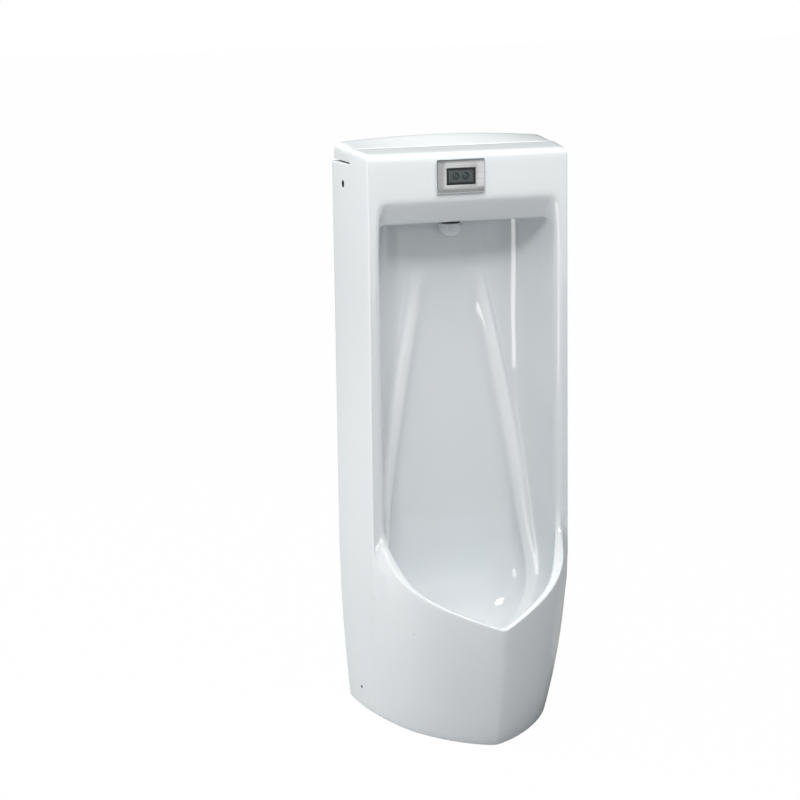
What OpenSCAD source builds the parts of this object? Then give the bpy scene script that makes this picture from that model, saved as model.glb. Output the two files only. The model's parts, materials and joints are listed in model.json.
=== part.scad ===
// Floor standing urinal with a sensor flush, in millimetres.
// +Z is up and the front is toward -Y. The origin is on the floor, under the centre of the footprint.
// Places are given as x (to the right), w (outward from the wall) and z (up from the floor).

/* [Body] */
// Height of the china body at the front edge of its top
body_h = 890; // [780:1:1000]
// Width of the body where it meets the wall, at the top of the taper
back_w = 348; // [320:1:420]
// Width of the flat front between the outer corners
front_w = 316; // [290:1:380]
// Depth of the header and the posts from the wall
header_d = 154; // [140:1:190]
// Depth of the whole body from the wall to the tip of the rim
bowl_d = 308; // [280:1:370]
// Width of the foot at the wall
foot_w = 323; // [290:1:400]
// Depth of the foot from the wall to its tip
foot_d = 265; // [240:1:330]
// How far above the rim's tip the body stops widening
taper_over = 46; // [20:1:80]
// Height of the rim at its tip
tip_h = 200; // [170:1:240]
// Height at which the rim meets the posts
rim_h = 292; // [260:1:340]
// How far each side bows out between the wall and the front
side_bow = 1; // [0.5:0.1:3]
// Narrowing of the body toward its top, in parts of its width
top_lean = 0.022; // [0:0.001:0.05]
// Thickness of the china
china_t = 12; // [8:0.5:15]

/* [Niche and bowl] */
// Width of each post beside the niche
post_w = 20; // [14:1:30]
// Height of the header's front face
header_h = 70; // [55:1:100]
// Height of the sloping face under the header
soffit_h = 35; // [25:1:45]
// Depth of the sloping face under the header
soffit_d = 24; // [16:1:34]
// Distance of the niche's back wall from the building's wall
niche_w = 38; // [34:1:60]
// Height of the bowl's floor at the drain
drain_h = 120; // [110:1:150]
// Distance of the drain from the wall
drain_w = 150; // [130:1:170]
// Width of the flat round the drain
sump_d = 92; // [84:1:110]
// Thickness of the rim
rim_t = 17; // [12:1:24]
// Width of each raised rib on the niche's back wall
rib_w = 22; // [12:1:30]
// How far each rib stands out
rib_t = 6; // [3:0.5:10]

/* [Lid] */
// Depth of the lid from the wall
lid_d = 80; // [70:1:95]
// Half width of the lid at the wall
lid_half = 161.5; // [150:0.5:175]
// Rise of the lid from its front edge to its rear edge
lid_rise = 5; // [0:0.5:10]
// Extra height of the lid's crown at its rear edge
lid_crown = 8; // [0:0.5:14]
// Height of the lid's side at its front edge
lid_side = 20; // [14:1:26]
// Thickness of the rubber pads under the lid
pad_t = 2.5; // [1:0.5:4]

/* [Sensor] */
// Sideways offset of the sensor plate from the centre line
sensor_x = -14; // [-30:1:30]
// Width of the plate
plate_w = 74; // [66:1:90]
// Height of the plate
plate_h = 50; // [46:1:54]
// How far the plate stands out of the china
plate_t = 5; // [3:0.5:8]
// Distance from the header's top edge down to the plate
plate_drop = 9; // [6:1:14]
// Width of the dark window
window_w = 44; // [36:1:52]
// Height of the dark window
window_h = 24; // [18:1:30]
// Depth of the housing behind the plate
housing_d = 44; // [36:1:52]

/* [Water] */
// Height of the water line above the floor of the service space
line_rise = 35; // [30:1:40]
// Radius of the inlet's bore
inlet_r = 9.3; // [8:0.1:10]
// Sideways place of the stop valve
stop_x = 104; // [98:1:106]
// Sideways place of the solenoid valve
solenoid_x = 56; // [52:1:60]
// Travel of the solenoid's plunger
plunger_lift = 4; // [2:0.5:5]
// Width of the spreader's hood
spreader_w = 36; // [30:1:44]
// Height of the spreader's hood
spreader_h = 24; // [18:1:30]

/* [Drain] */
// Radius of the drain tail
tail_r = 21; // [18:0.5:24]
// Radius of the strainer
strainer_r = 29; // [25:0.5:33]
// Radius of the trap
trap_r = 37; // [32:0.5:42]
// Radius of the outlet pipe
outlet_r = 16; // [14:0.5:18]
// Radius of the socket for the building's waste pipe
waste_r = 20.3; // [18:0.1:24]
// Distance of the outlet from the wall
outlet_w = 46; // [44:1:60]

/* [Hidden] */
$fn = 48;

// Clearances
slip = 0.3;       // between pieces that move or lift
seat = 0.15;      // radial gap round pieces that only sit in a hole
eps = 0.5;        // overrun of a cut past a face

// Frame
wall_y = bowl_d / 2;
module at(x, w, z) translate([x, wall_y - w, z]) children();
module outward() rotate([90, 0, 0]) children();
module sideways() rotate([0, 90, 0]) children();
module both_sides() for (s = [-1, 1]) scale([s, 1, 1]) children();
module block(size, r) linear_extrude(size[2]) rounded(size[0], size[1], r);
module rounded(w, d, r) {
    for (s = [-1, 1]) {
        translate([0, s * (d - 2 * r) / 4]) square([w, (d - 2 * r) / 2 + eps], center = true);
    }
    square([w - 2 * r, d], center = true);
    for (sx = [-1, 1], sy = [-1, 1]) translate([sx * (w / 2 - r), sy * (d / 2 - r)]) circle(r);
}
module pipe(h, r_out, r_in) difference() {
    cylinder(h = h, r = r_out);
    translate([0, 0, -eps]) cylinder(h = h + 2 * eps, r = r_in);
}
module hexagon(h, across, r_in) difference() {
    cylinder(h = h, r = across / sqrt(3), $fn = 6);
    translate([0, 0, -eps]) cylinder(h = h + 2 * eps, r = r_in);
}

// ---- Plan outlines, from the wall round the right half to the tip on the centre line ----
function mix(a, b, t) = a + (b - a) * t;
function bez(p, t) = p[0] * pow(1 - t, 3) + 3 * p[1] * pow(1 - t, 2) * t
    + 3 * p[2] * (1 - t) * t * t + p[3] * pow(t, 3);
function ease(z) = z >= taper_h ? 1 : 1 - pow(1 - z / taper_h, 2);
function lean(z) = z <= taper_h ? 1 : 1 - top_lean * (z - taper_h) / (body_h - taper_h);

taper_h = tip_h + taper_over;
side_steps = 4;
prow_steps = 12;
tip_full = foot_d + (bowl_d - foot_d) / ease(tip_h);   // depth of the tip where the taper ends
// Shares of the width and the depth that set the curves of the foot and of the rim
foot_side = [[1, 0], [0.98, 0.19], [0.88, 0.4], [0.731, 0.583]];
foot_prow = [[0.731, 0.583], [0.585, 0.751], [0.31, 0.928], [0, 1]];
function foot_point(p) = [p[0] * foot_w / 2, p[1] * foot_d];
rim_side = [[back_w / 2, 0], [mix(back_w, front_w, 1 / 3) / 2 + side_bow, header_d / 3],
    [mix(back_w, front_w, 2 / 3) / 2 + side_bow, header_d * 2 / 3], [front_w / 2, header_d]];
rim_prow = [[front_w / 2, header_d], [front_w * 0.373, mix(header_d, tip_full, 0.46)],
    [front_w * 0.385, mix(header_d, tip_full, 0.55)], [0, tip_full]];
function side_at(t, e) = mix(bez([for (p = foot_side) foot_point(p)], t), bez(rim_side, t), e);
function prow_at(t, e) = mix(bez([for (p = foot_prow) foot_point(p)], t), bez(rim_prow, t), e);
function half_outline(z) = let (e = ease(z), k = lean(z)) [
    for (i = [0 : side_steps - 1]) let (p = side_at(i / side_steps, e)) [p[0] * k, p[1]],
    for (i = [0 : prow_steps]) let (p = prow_at(i / prow_steps, e)) [p[0] * k, p[1]]];
function whole(half) = concat(half, [for (i = [len(half) - 1 : -1 : 0]) if (half[i][0] > 0.01)
    [-half[i][0], half[i][1]]]);
function inset(half, dx, dw) = let (hx = half[0][0], hw = half[len(half) - 1][1])
    [for (p = half) [p[0] * (hx - dx) / hx, p[1] * (hw - dw) / hw]];

// A closed solid through plan outlines at rising heights; every outline has the same number of points
module loft(rings) {
    n = len(rings[0][1]);
    m = len(rings);
    points = [for (r = rings) for (p = r[1]) [p[0], wall_y - p[1], r[0]]];
    walls = [for (j = [0 : m - 2], i = [0 : n - 1]) let (a = j * n + i, b = j * n + (i + 1) % n)
        each [[a, b, a + n], [b, b + n, a + n]]];
    polyhedron(points, concat(walls, [[for (i = [n - 1 : -1 : 0]) i]],
        [[for (i = [0 : n - 1]) (m - 1) * n + i]]));
}

outer_z = concat([0, 0.06, 0.15, 0.3, 0.47, 0.7, 1] * tip_h,
    [mix(tip_h, taper_h, 0.5), taper_h, body_h + lid_rise]);
module outer_form() loft([for (z = outer_z) [z, whole(half_outline(z))]]);

// Side view of the body: the rim's slope, the front, the top and the notch for the lid
notch_z = body_h + lid_rise - lid_side - pad_t;
module side_form() {
    slope = [for (t = [0 : 0.125 : 1]) bez([[bowl_d, tip_h], [bowl_d * 0.87, mix(tip_h, rim_h, 0.27)],
        [header_d + 8, mix(tip_h, rim_h, 0.8)], [header_d, rim_h + 14]], t)];
    outline = concat([[-eps, -eps], [bowl_d + 30, -eps], [bowl_d + 30, tip_h]], slope,
        [[header_d, body_h - top_r]],
        [for (a = [15 : 15 : 90]) [header_d - top_r + top_r * cos(a), body_h - top_r + top_r * sin(a)]],
        [[lid_d, body_h + lid_rise], [lid_d, notch_z], [-eps, notch_z]]);
    rotate([90, 0, -90]) translate([-wall_y, 0, -back_w]) linear_extrude(2 * back_w) polygon(outline);
}
top_r = 8;

// ---- The niche and the bowl ----
niche_half = front_w / 2 - post_w;
ceiling_z = body_h - header_h - soffit_h;
shelf_z = ceiling_z + china_t;      // floor of the service space
back_steps = 10;
wall_steps = 6;
corner_x = niche_half * 0.74;       // where the back wall turns into the side walls
back_bow = 10;                      // how far the back wall has come forward there
rib_low_x = niche_half * 0.93;      // place of each rib over the bowl
rib_high_x = niche_half * 0.36;     // and near its top
rib_straight = 60;                  // length below the ceiling where a rib no longer slants
rib_clear = 40;                     // plain wall between a rib's top and the ceiling
rib_fade = 120;                     // length over which a rib flattens out at its top
function rib_x(z) = let (share = (z - tip_h) / (ceiling_z - tip_h - rib_straight))
    mix(rib_low_x, rib_high_x, min(1, max(0, share)));
function rib_rise(z) = rib_t * min(1, max(0, (ceiling_z - rib_clear - z) / rib_fade));
function rib(x, z) = let (u = (x - rib_x(z)) / (rib_w / 2)) abs(u) < 1 ? rib_rise(z) * (1 - u * u) : 0;
// Plan of the niche at full size, from the centre of its back wall to the tip of the bowl
function niche_half_plan(z, grow) = let (e = ease(max(z, tip_h)), back = niche_w - grow,
    narrow = (niche_half + grow) / (front_w / 2),
    shorten = (tip_full - rim_t + grow - header_d) / (tip_full - header_d)) [
    for (i = [0 : back_steps]) let (share = i / back_steps, x = (corner_x + grow) * share)
        [x, back + back_bow * pow(share, 3) + (grow > 0 ? 0 : rib(x, z))],
    for (i = [1 : wall_steps]) bez([[corner_x + grow, back + back_bow],
        [niche_half * 0.9 + grow, back + 2.2 * back_bow], [niche_half * 0.97 + grow, header_d * 0.62],
        [niche_half + grow, header_d]], i / wall_steps),
    for (i = [1 : prow_steps]) let (p = prow_at(i / prow_steps, e))
        [p[0] * narrow, header_d + (p[1] - header_d) * shorten]];
// Plan of the bowl as it closes in on the drain
bowl_top = tip_h + 30;              // height where the bowl has the niche's full outline
function bowl_plan(z, grow) = let (low = drain_h - grow,
    t = min(1, (z - low) / (bowl_top - low)), g = sqrt(1 - pow(1 - t, 2)), plan = niche_half_plan(z, grow),
    n = len(plan) - 1) [for (i = [0 : n]) let (a = 180 * i / n, r = sump_d / 2 + grow)
        mix([r * sin(a), drain_w - r * cos(a)], plan[i], g)];
bowl_t = [0, 0.06, 0.16, 0.32, 0.55, 0.8];     // shares of the bowl's depth, closer near its floor
module bowl_form(grow, top) {
    low = drain_h - grow;
    levels = concat([for (t = bowl_t) mix(low, bowl_top, t)], [bowl_top, mix(tip_h, ceiling_z, 0.4),
        mix(tip_h, ceiling_z, 0.7), ceiling_z - rib_clear, top]);
    loft([for (z = levels) let (half = bowl_plan(z, grow)) [z, whole_bowl(half)]]);
}
// The half plan starts and ends on the centre line
function whole_bowl(half) = concat(half, [for (i = [len(half) - 2 : -1 : 1]) [-half[i][0], half[i][1]]]);

// The wedge that gives the header its sloping underside
module soffit_cut() rotate([90, 0, -90]) translate([-wall_y, 0, -niche_half]) linear_extrude(2 * niche_half)
    polygon([[header_d - soffit_d - eps, ceiling_z - eps], [header_d - soffit_d, ceiling_z],
        [header_d, ceiling_z + soffit_h], [header_d + 30, ceiling_z + soffit_h],
        [header_d + 30, ceiling_z - eps]]);

// ---- Hollows of the body ----
cavity_half = back_w / 2 - 24;
foot_hollow_top = tip_h - 18;
rear_low = foot_hollow_top - 60;    // the hollow behind the niche runs down into the foot's hollow
module foot_hollow() loft([for (z = [-eps, 0.15 * tip_h, 0.45 * tip_h, foot_hollow_top])
    [z, whole(inset(half_outline(max(z, 0)), china_t + 1, china_t + 2))]]);
module rear_hollow() at(-cavity_half, niche_w - china_t, rear_low)
    cube([2 * cavity_half, niche_w - china_t + eps, ceiling_z - china_t - rear_low]);
module service_space() {
    deep = header_d - soffit_d - china_t;
    at(-cavity_half, deep, shelf_z) cube([2 * cavity_half, deep + eps, body_h - china_t - shelf_z]);
    at(-cavity_half, header_d - china_t, shelf_z + soffit_h)
        cube([2 * cavity_half, header_d - china_t, body_h - china_t - shelf_z - soffit_h]);
}

// Fixing holes in the sides
high_w = 50;
high_z = body_h - 49;
low_w = 57;
low_z = 36;
high_hole_r = 5.5;
low_hole_r = 2.6;
module side_holes() {
    at(-back_w, high_w, high_z) sideways() cylinder(h = 2 * back_w, r = high_hole_r);
    at(-back_w, low_w, low_z) sideways() cylinder(h = 2 * back_w, r = low_hole_r);
}
sensor_z = body_h - plate_drop - plate_h / 2;
housing_w = plate_w - 14;
housing_h = plate_h - 12;
spreader_bore = 8;
flange_hole_r = tail_r + 1;

module body() color("white") difference() {
    intersection() {
        outer_form();
        side_form();
    }
    difference() {
        foot_hollow();
        bowl_form(china_t, foot_hollow_top + 20);
    }
    rear_hollow();
    service_space();
    bowl_form(0, ceiling_z);
    soffit_cut();
    side_holes();
    at(sensor_x, header_d + eps, sensor_z) rotate([-90, 0, 0])
        block([housing_w + 2 * slip, housing_h + 2 * slip, china_t + 2 * eps], 3);
    at(0, line_w, ceiling_z - eps) cylinder(h = china_t + 2 * eps, r = spreader_bore + seat);
    at(0, drain_w, drain_h - china_t - eps) cylinder(h = china_t + 2 * eps, r = flange_hole_r);
}

// ---- The lid ----
lid_z = notch_z + pad_t;
lid_top = body_h + lid_rise;
lid_narrow = 1.5;                   // how much less wide each side is at the front
lid_gap = 0.6;                      // the dark seam in front of the lid
lid_front = lid_d - lid_gap;
lid_roof_t = 8;
lid_wall_t = 9;
function lid_roof(u, v) = lid_top + lid_rise * (1 - v) + lid_crown * (1 - u * u) * (1 - v);
function lid_point(u, v, shrink, z) = [u * (lid_half - lid_narrow * v - shrink),
    wall_y - mix(shrink, lid_front - shrink, v), z];
// The lid's outer form, or the hollow under it: drop lowers the roof and shrink draws the sides in
module lid_form(drop, shrink) {
    nu = 16;
    nv = 4;
    row = nu + 1;
    grid_uv = [for (j = [0 : nv], i = [0 : nu]) [2 * i / nu - 1, j / nv]];
    top = [for (g = grid_uv) lid_point(g[0], g[1], shrink, lid_roof(g[0], g[1]) - drop)];
    low = [for (g = grid_uv) lid_point(g[0], g[1], shrink, lid_z - (shrink > 0 ? eps : 0))];
    k = len(top);
    grid = [for (j = [0 : nv - 1], i = [0 : nu - 1]) let (a = j * row + i)
        each [[a, a + row, a + 1], [a + 1, a + row, a + row + 1]]];
    edge = concat([for (i = [0 : nu]) i], [for (j = [1 : nv]) j * row + nu],
        [for (i = [nu - 1 : -1 : 0]) nv * row + i], [for (j = [nv - 1 : -1 : 1]) j * row]);
    ne = len(edge);
    sides = [for (i = [0 : ne - 1]) let (a = edge[i], b = edge[(i + 1) % ne])
        each [[a, a + k, b], [b, a + k, b + k]]];
    roof = [for (f = grid) [f[0], f[2], f[1]]];
    polyhedron(concat(top, low), concat(roof, [for (f = grid) f + [k, k, k]], sides));
}
module lid() color("white") difference() {
    lid_form(0, 0);
    lid_form(lid_roof_t, lid_wall_t);
}
pad_r = 4;
pad_x = lid_half - pad_r - 1;
pad_in = 15;                        // distance of each pad from the lid's front and rear edges
module lid_pads() color("dimgray") for (s = [-1, 1], w = [pad_in, lid_d - pad_in])
    at(s * pad_x, w, notch_z) cylinder(h = pad_t, r = pad_r);

// ---- The sensor ----
board_w = header_d - 26;            // back face of the circuit board
board_t = 1.6;
gasket_t = 1;
lens_gap = 15;                      // between the centres of the two lenses
lens_r = 5;
lens_seat = 2.5;                    // depth of the lenses' seats in front of the header's face
lens_round = 12;                    // radius of a lens's rounded front
eye_r = 2.5;
housing_back = header_d - housing_d;
screw_x = housing_w / 2 - 9;        // clamp screws, either side of the plate's centre
module at_lenses(w) for (s = [-1, 1]) at(sensor_x + s * lens_gap / 2, w, sensor_z) outward() children();
module at_screws(w) for (s = [-1, 1]) at(sensor_x + s * screw_x, w, sensor_z) children();
module faced(w, size, r) at(sensor_x, w, sensor_z) rotate([90, 0, 0]) block(size, r);
module sensor_plate() color("silver") difference() {
    faced(header_d + gasket_t, [plate_w, plate_h, plate_t - gasket_t], 1.5);
    faced(header_d, [window_w + 2 * seat, window_h + 2 * seat, plate_t + eps], 1.5);
}
module plate_gasket() color("dimgray") difference() {
    faced(header_d, [plate_w - 4, plate_h - 4, gasket_t], 1.5);
    faced(header_d - eps, [housing_w + 2 * slip, housing_h + 2 * slip, gasket_t + 2 * eps], 3);
}
module sensor_window() color("darkslategray") difference() {
    faced(header_d + gasket_t, [window_w, window_h, plate_t - gasket_t - 1], 1.5);
    at_lenses(header_d + lens_seat) cylinder(h = plate_t, r = lens_r + seat);
}
lens_l = plate_t - 1 - lens_seat;   // length of a lens's straight side
module sensor_lenses() color("black") at_lenses(header_d + lens_seat) {
    cylinder(h = lens_l, r = lens_r);
    intersection() {
        cylinder(h = plate_t, r = lens_r);
        translate([0, 0, lens_l - lens_round + 0.8]) sphere(r = lens_round);
    }
}
housing_t = 2.5;
clamp_screw_r = 1.7;
module sensor_housing() color("gray") difference() {
    faced(housing_back, [housing_w, housing_h, housing_d + gasket_t], 3);
    faced(housing_back + housing_t, [housing_w - 2 * housing_t, housing_h - 2 * housing_t, housing_d], 1.5);
    at_screws(housing_back - eps) outward() cylinder(h = 4, r = clamp_screw_r + 0.1);
}
board_gap = housing_t + slip;
module sensor_board() color("seagreen") {
    faced(board_w, [housing_w - 2 * board_gap, housing_h - 2 * board_gap, board_t], 1.5);
    at_lenses(board_w + board_t) cylinder(h = 9, r = eye_r);
}
bar_t = 3;
bar_over = 11;                      // how far the bar reaches past each side of the housing
module clamp_bar() color("silver") difference() {
    at(sensor_x, housing_back, sensor_z) rotate([-90, 0, 0])
        block([housing_w + 2 * bar_over, 16, bar_t], 3);
    at_screws(housing_back + eps) rotate([-90, 0, 0])
        cylinder(h = bar_t + 2 * eps, r = clamp_screw_r + 0.2);
    at(sensor_x, housing_back + eps, sensor_z) rotate([-90, 0, 0]) cylinder(h = bar_t + 2 * eps, r = 4);
}
module clamp_screws() color("gainsboro") at_screws(housing_back - bar_t) {
    rotate([-90, 0, 0]) cylinder(h = 2.4, r = 3.2);
    outward() cylinder(h = bar_t + 2.2, r = clamp_screw_r);
}

// ---- The spreader ----
hood_top = ceiling_z - 7;
neck_bore = spreader_bore - 2.5;
neck_floor = hood_top + 0.5;        // bottom of the bore that feeds the jets
jet_r = 1.3;
line_w = niche_w + spreader_w / 2 + 1;      // the water line runs straight over the spreader
module spreader() color("whitesmoke") at(0, line_w, 0) difference() {
    union() {
        translate([0, 0, ceiling_z - 2]) cylinder(h = 2, r = spreader_w / 2);
        translate([0, 0, hood_top - 2]) cylinder(h = neck_top - hood_top + 2, r = spreader_bore);
        rotate_extrude() polygon(concat([[0, hood_top], [spreader_w / 2, hood_top]],
            [for (a = [0 : 10 : 90]) [spreader_w / 2 * cos(a), hood_top - 3 - (spreader_h - 3) * sin(a)]]));
    }
    translate([0, 0, neck_floor]) cylinder(h = neck_top, r = neck_bore);
    for (a = [-60 : 60 : 60]) rotate(a) translate([0, 0, neck_floor + jet_r + 0.3]) rotate([-90, 0, 0])
        cylinder(h = spreader_w, r = jet_r);
}
spreader_washer_t = 2;
module spreader_washer() color("dimgray") at(0, line_w, shelf_z)
    pipe(spreader_washer_t, spreader_bore + 7, spreader_bore + seat);
module spreader_nut() color("goldenrod") at(0, line_w, shelf_z + spreader_washer_t)
    hexagon(6, 26, spreader_bore + seat);

// ---- The water line: stop valve, solenoid valve and flush pipe, left along X ----
line_z = shelf_z + line_rise;
neck_top = shelf_z + 14;            // where the flush pipe meets the spreader's neck
line_bore = 6;                      // radius of the water's way through the valves
line_r = 9;                         // outer radius of the valves' side tubes
stop_r = 13;
stop_low = line_z - 16;
stop_high = line_z + 16;
ball_r = 9;
rose_r = 20;
rose_t = 4;
inlet_l = 14;      // length of the inlet's bore
filter_r = 8;
filter_l = 10;
stop_reach = 24;   // length of the stop valve's side tube, from its axis
module wall_rose() color("silver") at(stop_x, 0, line_z) outward() difference() {
    cylinder(h = rose_t, r = rose_r);
    translate([0, 0, -eps]) cylinder(h = rose_t + 2 * eps, r = stop_r + slip);
}
module stop_valve() color("silver") difference() {
    union() {
        at(stop_x, line_w, stop_low) cylinder(h = stop_high - stop_low, r = stop_r);
        at(stop_x, 0, line_z) outward() cylinder(h = line_w, r = stop_r);
        at(stop_x, line_w, line_z) rotate([0, -90, 0]) cylinder(h = stop_reach, r = line_r);
    }
    at(stop_x, -eps, line_z) outward() cylinder(h = inlet_l + eps, r = inlet_r);
    at(stop_x, 0, line_z) outward() cylinder(h = inlet_l + filter_l, r = filter_r);
    at(stop_x, 0, line_z) outward() cylinder(h = line_w, r = line_bore);
    at(stop_x, line_w, line_z) rotate([0, -90, 0]) cylinder(h = stop_reach + eps, r = line_bore);
    at(stop_x, line_w, line_z - ball_r - 1) cylinder(h = stop_high, r = ball_r + slip);
}
module stop_ball() color("gainsboro") at(stop_x, line_w, line_z) difference() {
    sphere(r = ball_r);
    rotate([0, -90, 0]) cylinder(h = ball_r + 2, r = ball_bore);
    outward() translate([0, 0, -ball_r - 2]) cylinder(h = ball_r + 2, r = ball_bore);
    translate([0, 0, ball_r - spindle_sink]) cylinder(h = 4, r = spindle_r + 0.1);
}
ball_bore = line_bore - 0.5;
spindle_r = 3.5;
spindle_sink = 2;                   // how far the spindle reaches into the ball
module stop_spindle() color("goldenrod") at(stop_x, line_w, line_z + ball_r - spindle_sink) difference() {
    union() {
        cylinder(h = 17, r = spindle_r);
        translate([0, 0, 14]) cylinder(h = 5, r = 5);
    }
    translate([-6, -0.8, 17]) cube([12, 1.6, 4]);
}
packing_low = line_z + ball_r + 2 * slip;
packing_l = stop_high - packing_low;
module packing_nut() color("goldenrod") at(stop_x, line_w, packing_low) difference() {
    union() {
        cylinder(h = packing_l, r = ball_r);
        translate([0, 0, packing_l]) cylinder(h = 4, r = 11, $fn = 6);
    }
    translate([0, 0, -eps]) cylinder(h = packing_l + 5, r = spindle_r + 0.08);
}
module inlet_filter() color("silver") at(stop_x, inlet_l, line_z) outward() difference() {
    cylinder(h = filter_l - 0.2, r = filter_r - seat);
    translate([0, 0, -eps]) cylinder(h = filter_l - 2, r = filter_r - 1.5);
    for (a = [0 : 60 : 300]) rotate(a) translate([3.8, 0, 0]) cylinder(h = filter_l + 2, r = 1.1);
}
union_in_x = stop_x - stop_reach;  // face where the stop valve meets the solenoid valve
union_out_x = 2 * solenoid_x - union_in_x;
nut_l = 12;
module union_nuts() color("silver") for (x = [union_in_x, union_out_x])
    at(x - nut_l / 2, line_w, line_z) sideways() hexagon(nut_l, 24, line_r + seat);
valve_r = 16;
valve_low = line_z - 13;
valve_top = line_z + 14;
recess_r = 12.5;                    // recess of the diaphragm
recess_h = 5;
bonnet_screw_out = 14.2;            // from the valve's axis to its screws
bonnet_screw_r = 0.9;
module at_bonnet_screws(z) for (a = [45 : 90 : 315])
    at(solenoid_x, line_w, z) rotate(a) translate([bonnet_screw_out, 0, 0]) children();
module solenoid_valve() color("white") difference() {
    union() {
        at(union_out_x, line_w, line_z) sideways() cylinder(h = union_in_x - union_out_x, r = line_r);
        at(solenoid_x, line_w, valve_low) cylinder(h = valve_top - valve_low, r = valve_r);
    }
    at(union_out_x - eps, line_w, line_z) sideways()
        cylinder(h = union_in_x - union_out_x + 2 * eps, r = line_bore);
    at(solenoid_x, line_w, valve_top - recess_h) cylinder(h = recess_h + eps, r = recess_r);
    at_bonnet_screws(valve_top - 6) cylinder(h = 7, r = bonnet_screw_r + 0.1);
}
diaphragm_t = 3;
module diaphragm() color("dimgray") at(solenoid_x, line_w, valve_top - recess_h)
    cylinder(h = diaphragm_t, r = recess_r - seat);
tube_r = 6;
plunger_l = 16;
plunger_sink = recess_h - diaphragm_t - 0.2;       // how far the plunger reaches into the recess
spring_l = 3.5 * plunger_lift;
tube_cap = 1.5;
tube_top = plunger_l - plunger_sink + spring_l + tube_cap;
plunger_r = 4.3;
bonnet_t = 4;
module bonnet() color("gainsboro") difference() {
    at(solenoid_x, line_w, valve_top) {
        cylinder(h = bonnet_t, r = valve_r);
        cylinder(h = tube_top, r = tube_r);
    }
    at(solenoid_x, line_w, valve_top - eps) cylinder(h = tube_top - tube_cap + eps, r = plunger_r + slip);
    at_bonnet_screws(valve_top - eps) cylinder(h = bonnet_t + 2 * eps, r = bonnet_screw_r + 0.3);
}
module bonnet_screws() color("gray") {
    at_bonnet_screws(valve_top - 5) cylinder(h = 5 + bonnet_t, r = bonnet_screw_r);
    at_bonnet_screws(valve_top + bonnet_t) cylinder(h = 1.4, r = bonnet_screw_r + 0.8);
}
coil_z = valve_top + 6;
coil_size = [24, 20, 19];
module coil() color("black") at(solenoid_x, line_w, coil_z) difference() {
    block(coil_size, 3);
    translate([0, 0, -eps]) cylinder(h = coil_size[2] + 2 * eps, r = tube_r + seat);
}
module plunger() color("silver") at(solenoid_x, line_w, valve_top - plunger_sink)
    cylinder(h = plunger_l, r = plunger_r);
spring_low = valve_top - plunger_sink + plunger_l;
spring_r = 3.2;
wire_r = 0.4;
module plunger_spring() color("silver") at(solenoid_x, line_w, spring_low)
    helix(spring_r, wire_r, spring_l, 5);
// One unbroken round wire wound as a spring, cut flat at both ends
module helix(r, wire, h, turns) {
    n = 8;
    m = 6;
    steps = n * turns;
    points = [for (k = [0 : steps]) let (a = 360 * k / n, z = mix(wire, h - wire, k / steps))
        for (j = [0 : m - 1]) let (b = 360 * j / m)
            [(r + wire * cos(b)) * cos(a), (r + wire * cos(b)) * sin(a), z + wire * sin(b)]];
    faces = [for (k = [0 : steps - 1], j = [0 : m - 1]) let (p = k * m + j, q = k * m + (j + 1) % m)
        each [[p, p + m, q], [q, p + m, q + m]]];
    ends = [[for (j = [0 : m - 1]) j], [for (j = [m - 1 : -1 : 0]) steps * m + j]];
    polyhedron(points, concat(faces, ends));
}
bend_r = 18;
pipe_r = 8;
pipe_t = 2;
drop_h = line_z - bend_r - neck_top;
module flush_pipe() color("silver") difference() {
    flush_run(pipe_r);
    flush_run(pipe_r - pipe_t);
}
module flush_run(r) {
    at(0, line_w, neck_top) cylinder(h = drop_h, r = r);
    at(bend_r, line_w, line_z - bend_r) rotate([90, 0, 0]) rotate([0, 0, 90])
        rotate_extrude(angle = 90) translate([bend_r, 0]) circle(r);
    at(bend_r, line_w, line_z) sideways() cylinder(h = union_out_x - bend_r, r = r);
}
saddle_size = [22, 30, valve_low - shelf_z];
saddle_t = 3;
saddle_foot = 4;
saddle_window = saddle_size + [2, -2 * saddle_foot, -2 * saddle_t];
module valve_saddle() color("silver") at(solenoid_x, line_w, (shelf_z + valve_low) / 2) difference() {
    cube(saddle_size, center = true);
    cube(saddle_window, center = true);
}

// ---- The battery box ----
box_x = -cavity_half + 12;
box_size = [68, 22, 60];
box_w = 24;                         // distance of the box's back from the wall
box_floor = 4;
box_wall = 2;
module box_at() at(box_x, box_w, shelf_z) children();
cover_t = 2;
barrel_r = 1.9;
hinge_z = barrel_r + slip + 1;        // the barrel turns just over the box's lip
hinge_out = box_size[1] + slip + barrel_r;
module battery_box() color("gray") box_at() difference() {
    union() {
        translate([0, -box_size[1], 0]) cube(box_size);
        translate([0, -hinge_out - barrel_r, 0]) cube([box_size[0], hinge_out + barrel_r, 1]);
    }
    translate([box_wall, -box_size[1] - eps, box_floor])
        cube(box_size - [2 * box_wall, box_wall - eps, box_wall + box_floor]);
}
module battery_cover() color("dimgray") box_at() {
    translate([0, -box_size[1] - cover_t - slip, hinge_z])
        cube([box_size[0], cover_t, box_size[2] - hinge_z]);
    translate([0, -hinge_out, hinge_z]) sideways() cylinder(h = box_size[0], r = barrel_r);
}
cell_r = 7.2;
cell_l = 50.5;
cell_step = 16;
cell_y = -box_size[1] / 2 - 1;
cell_low = box_floor + 0.5;
contact = [8, 8, 1];
module at_cells(z) box_at() for (i = [0 : 3])
    translate([box_size[0] / 2 + (i - 1.5) * cell_step, cell_y, z]) children();
module batteries() color("orange") at_cells(cell_low) {
    cylinder(h = cell_l - 1.5, r = cell_r);
    cylinder(h = cell_l, r = 2.7);
}
module battery_contacts() color("gainsboro") at_cells(cell_low + cell_l)
    translate([0, 0, contact[2] / 2]) cube(contact, center = true);

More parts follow.
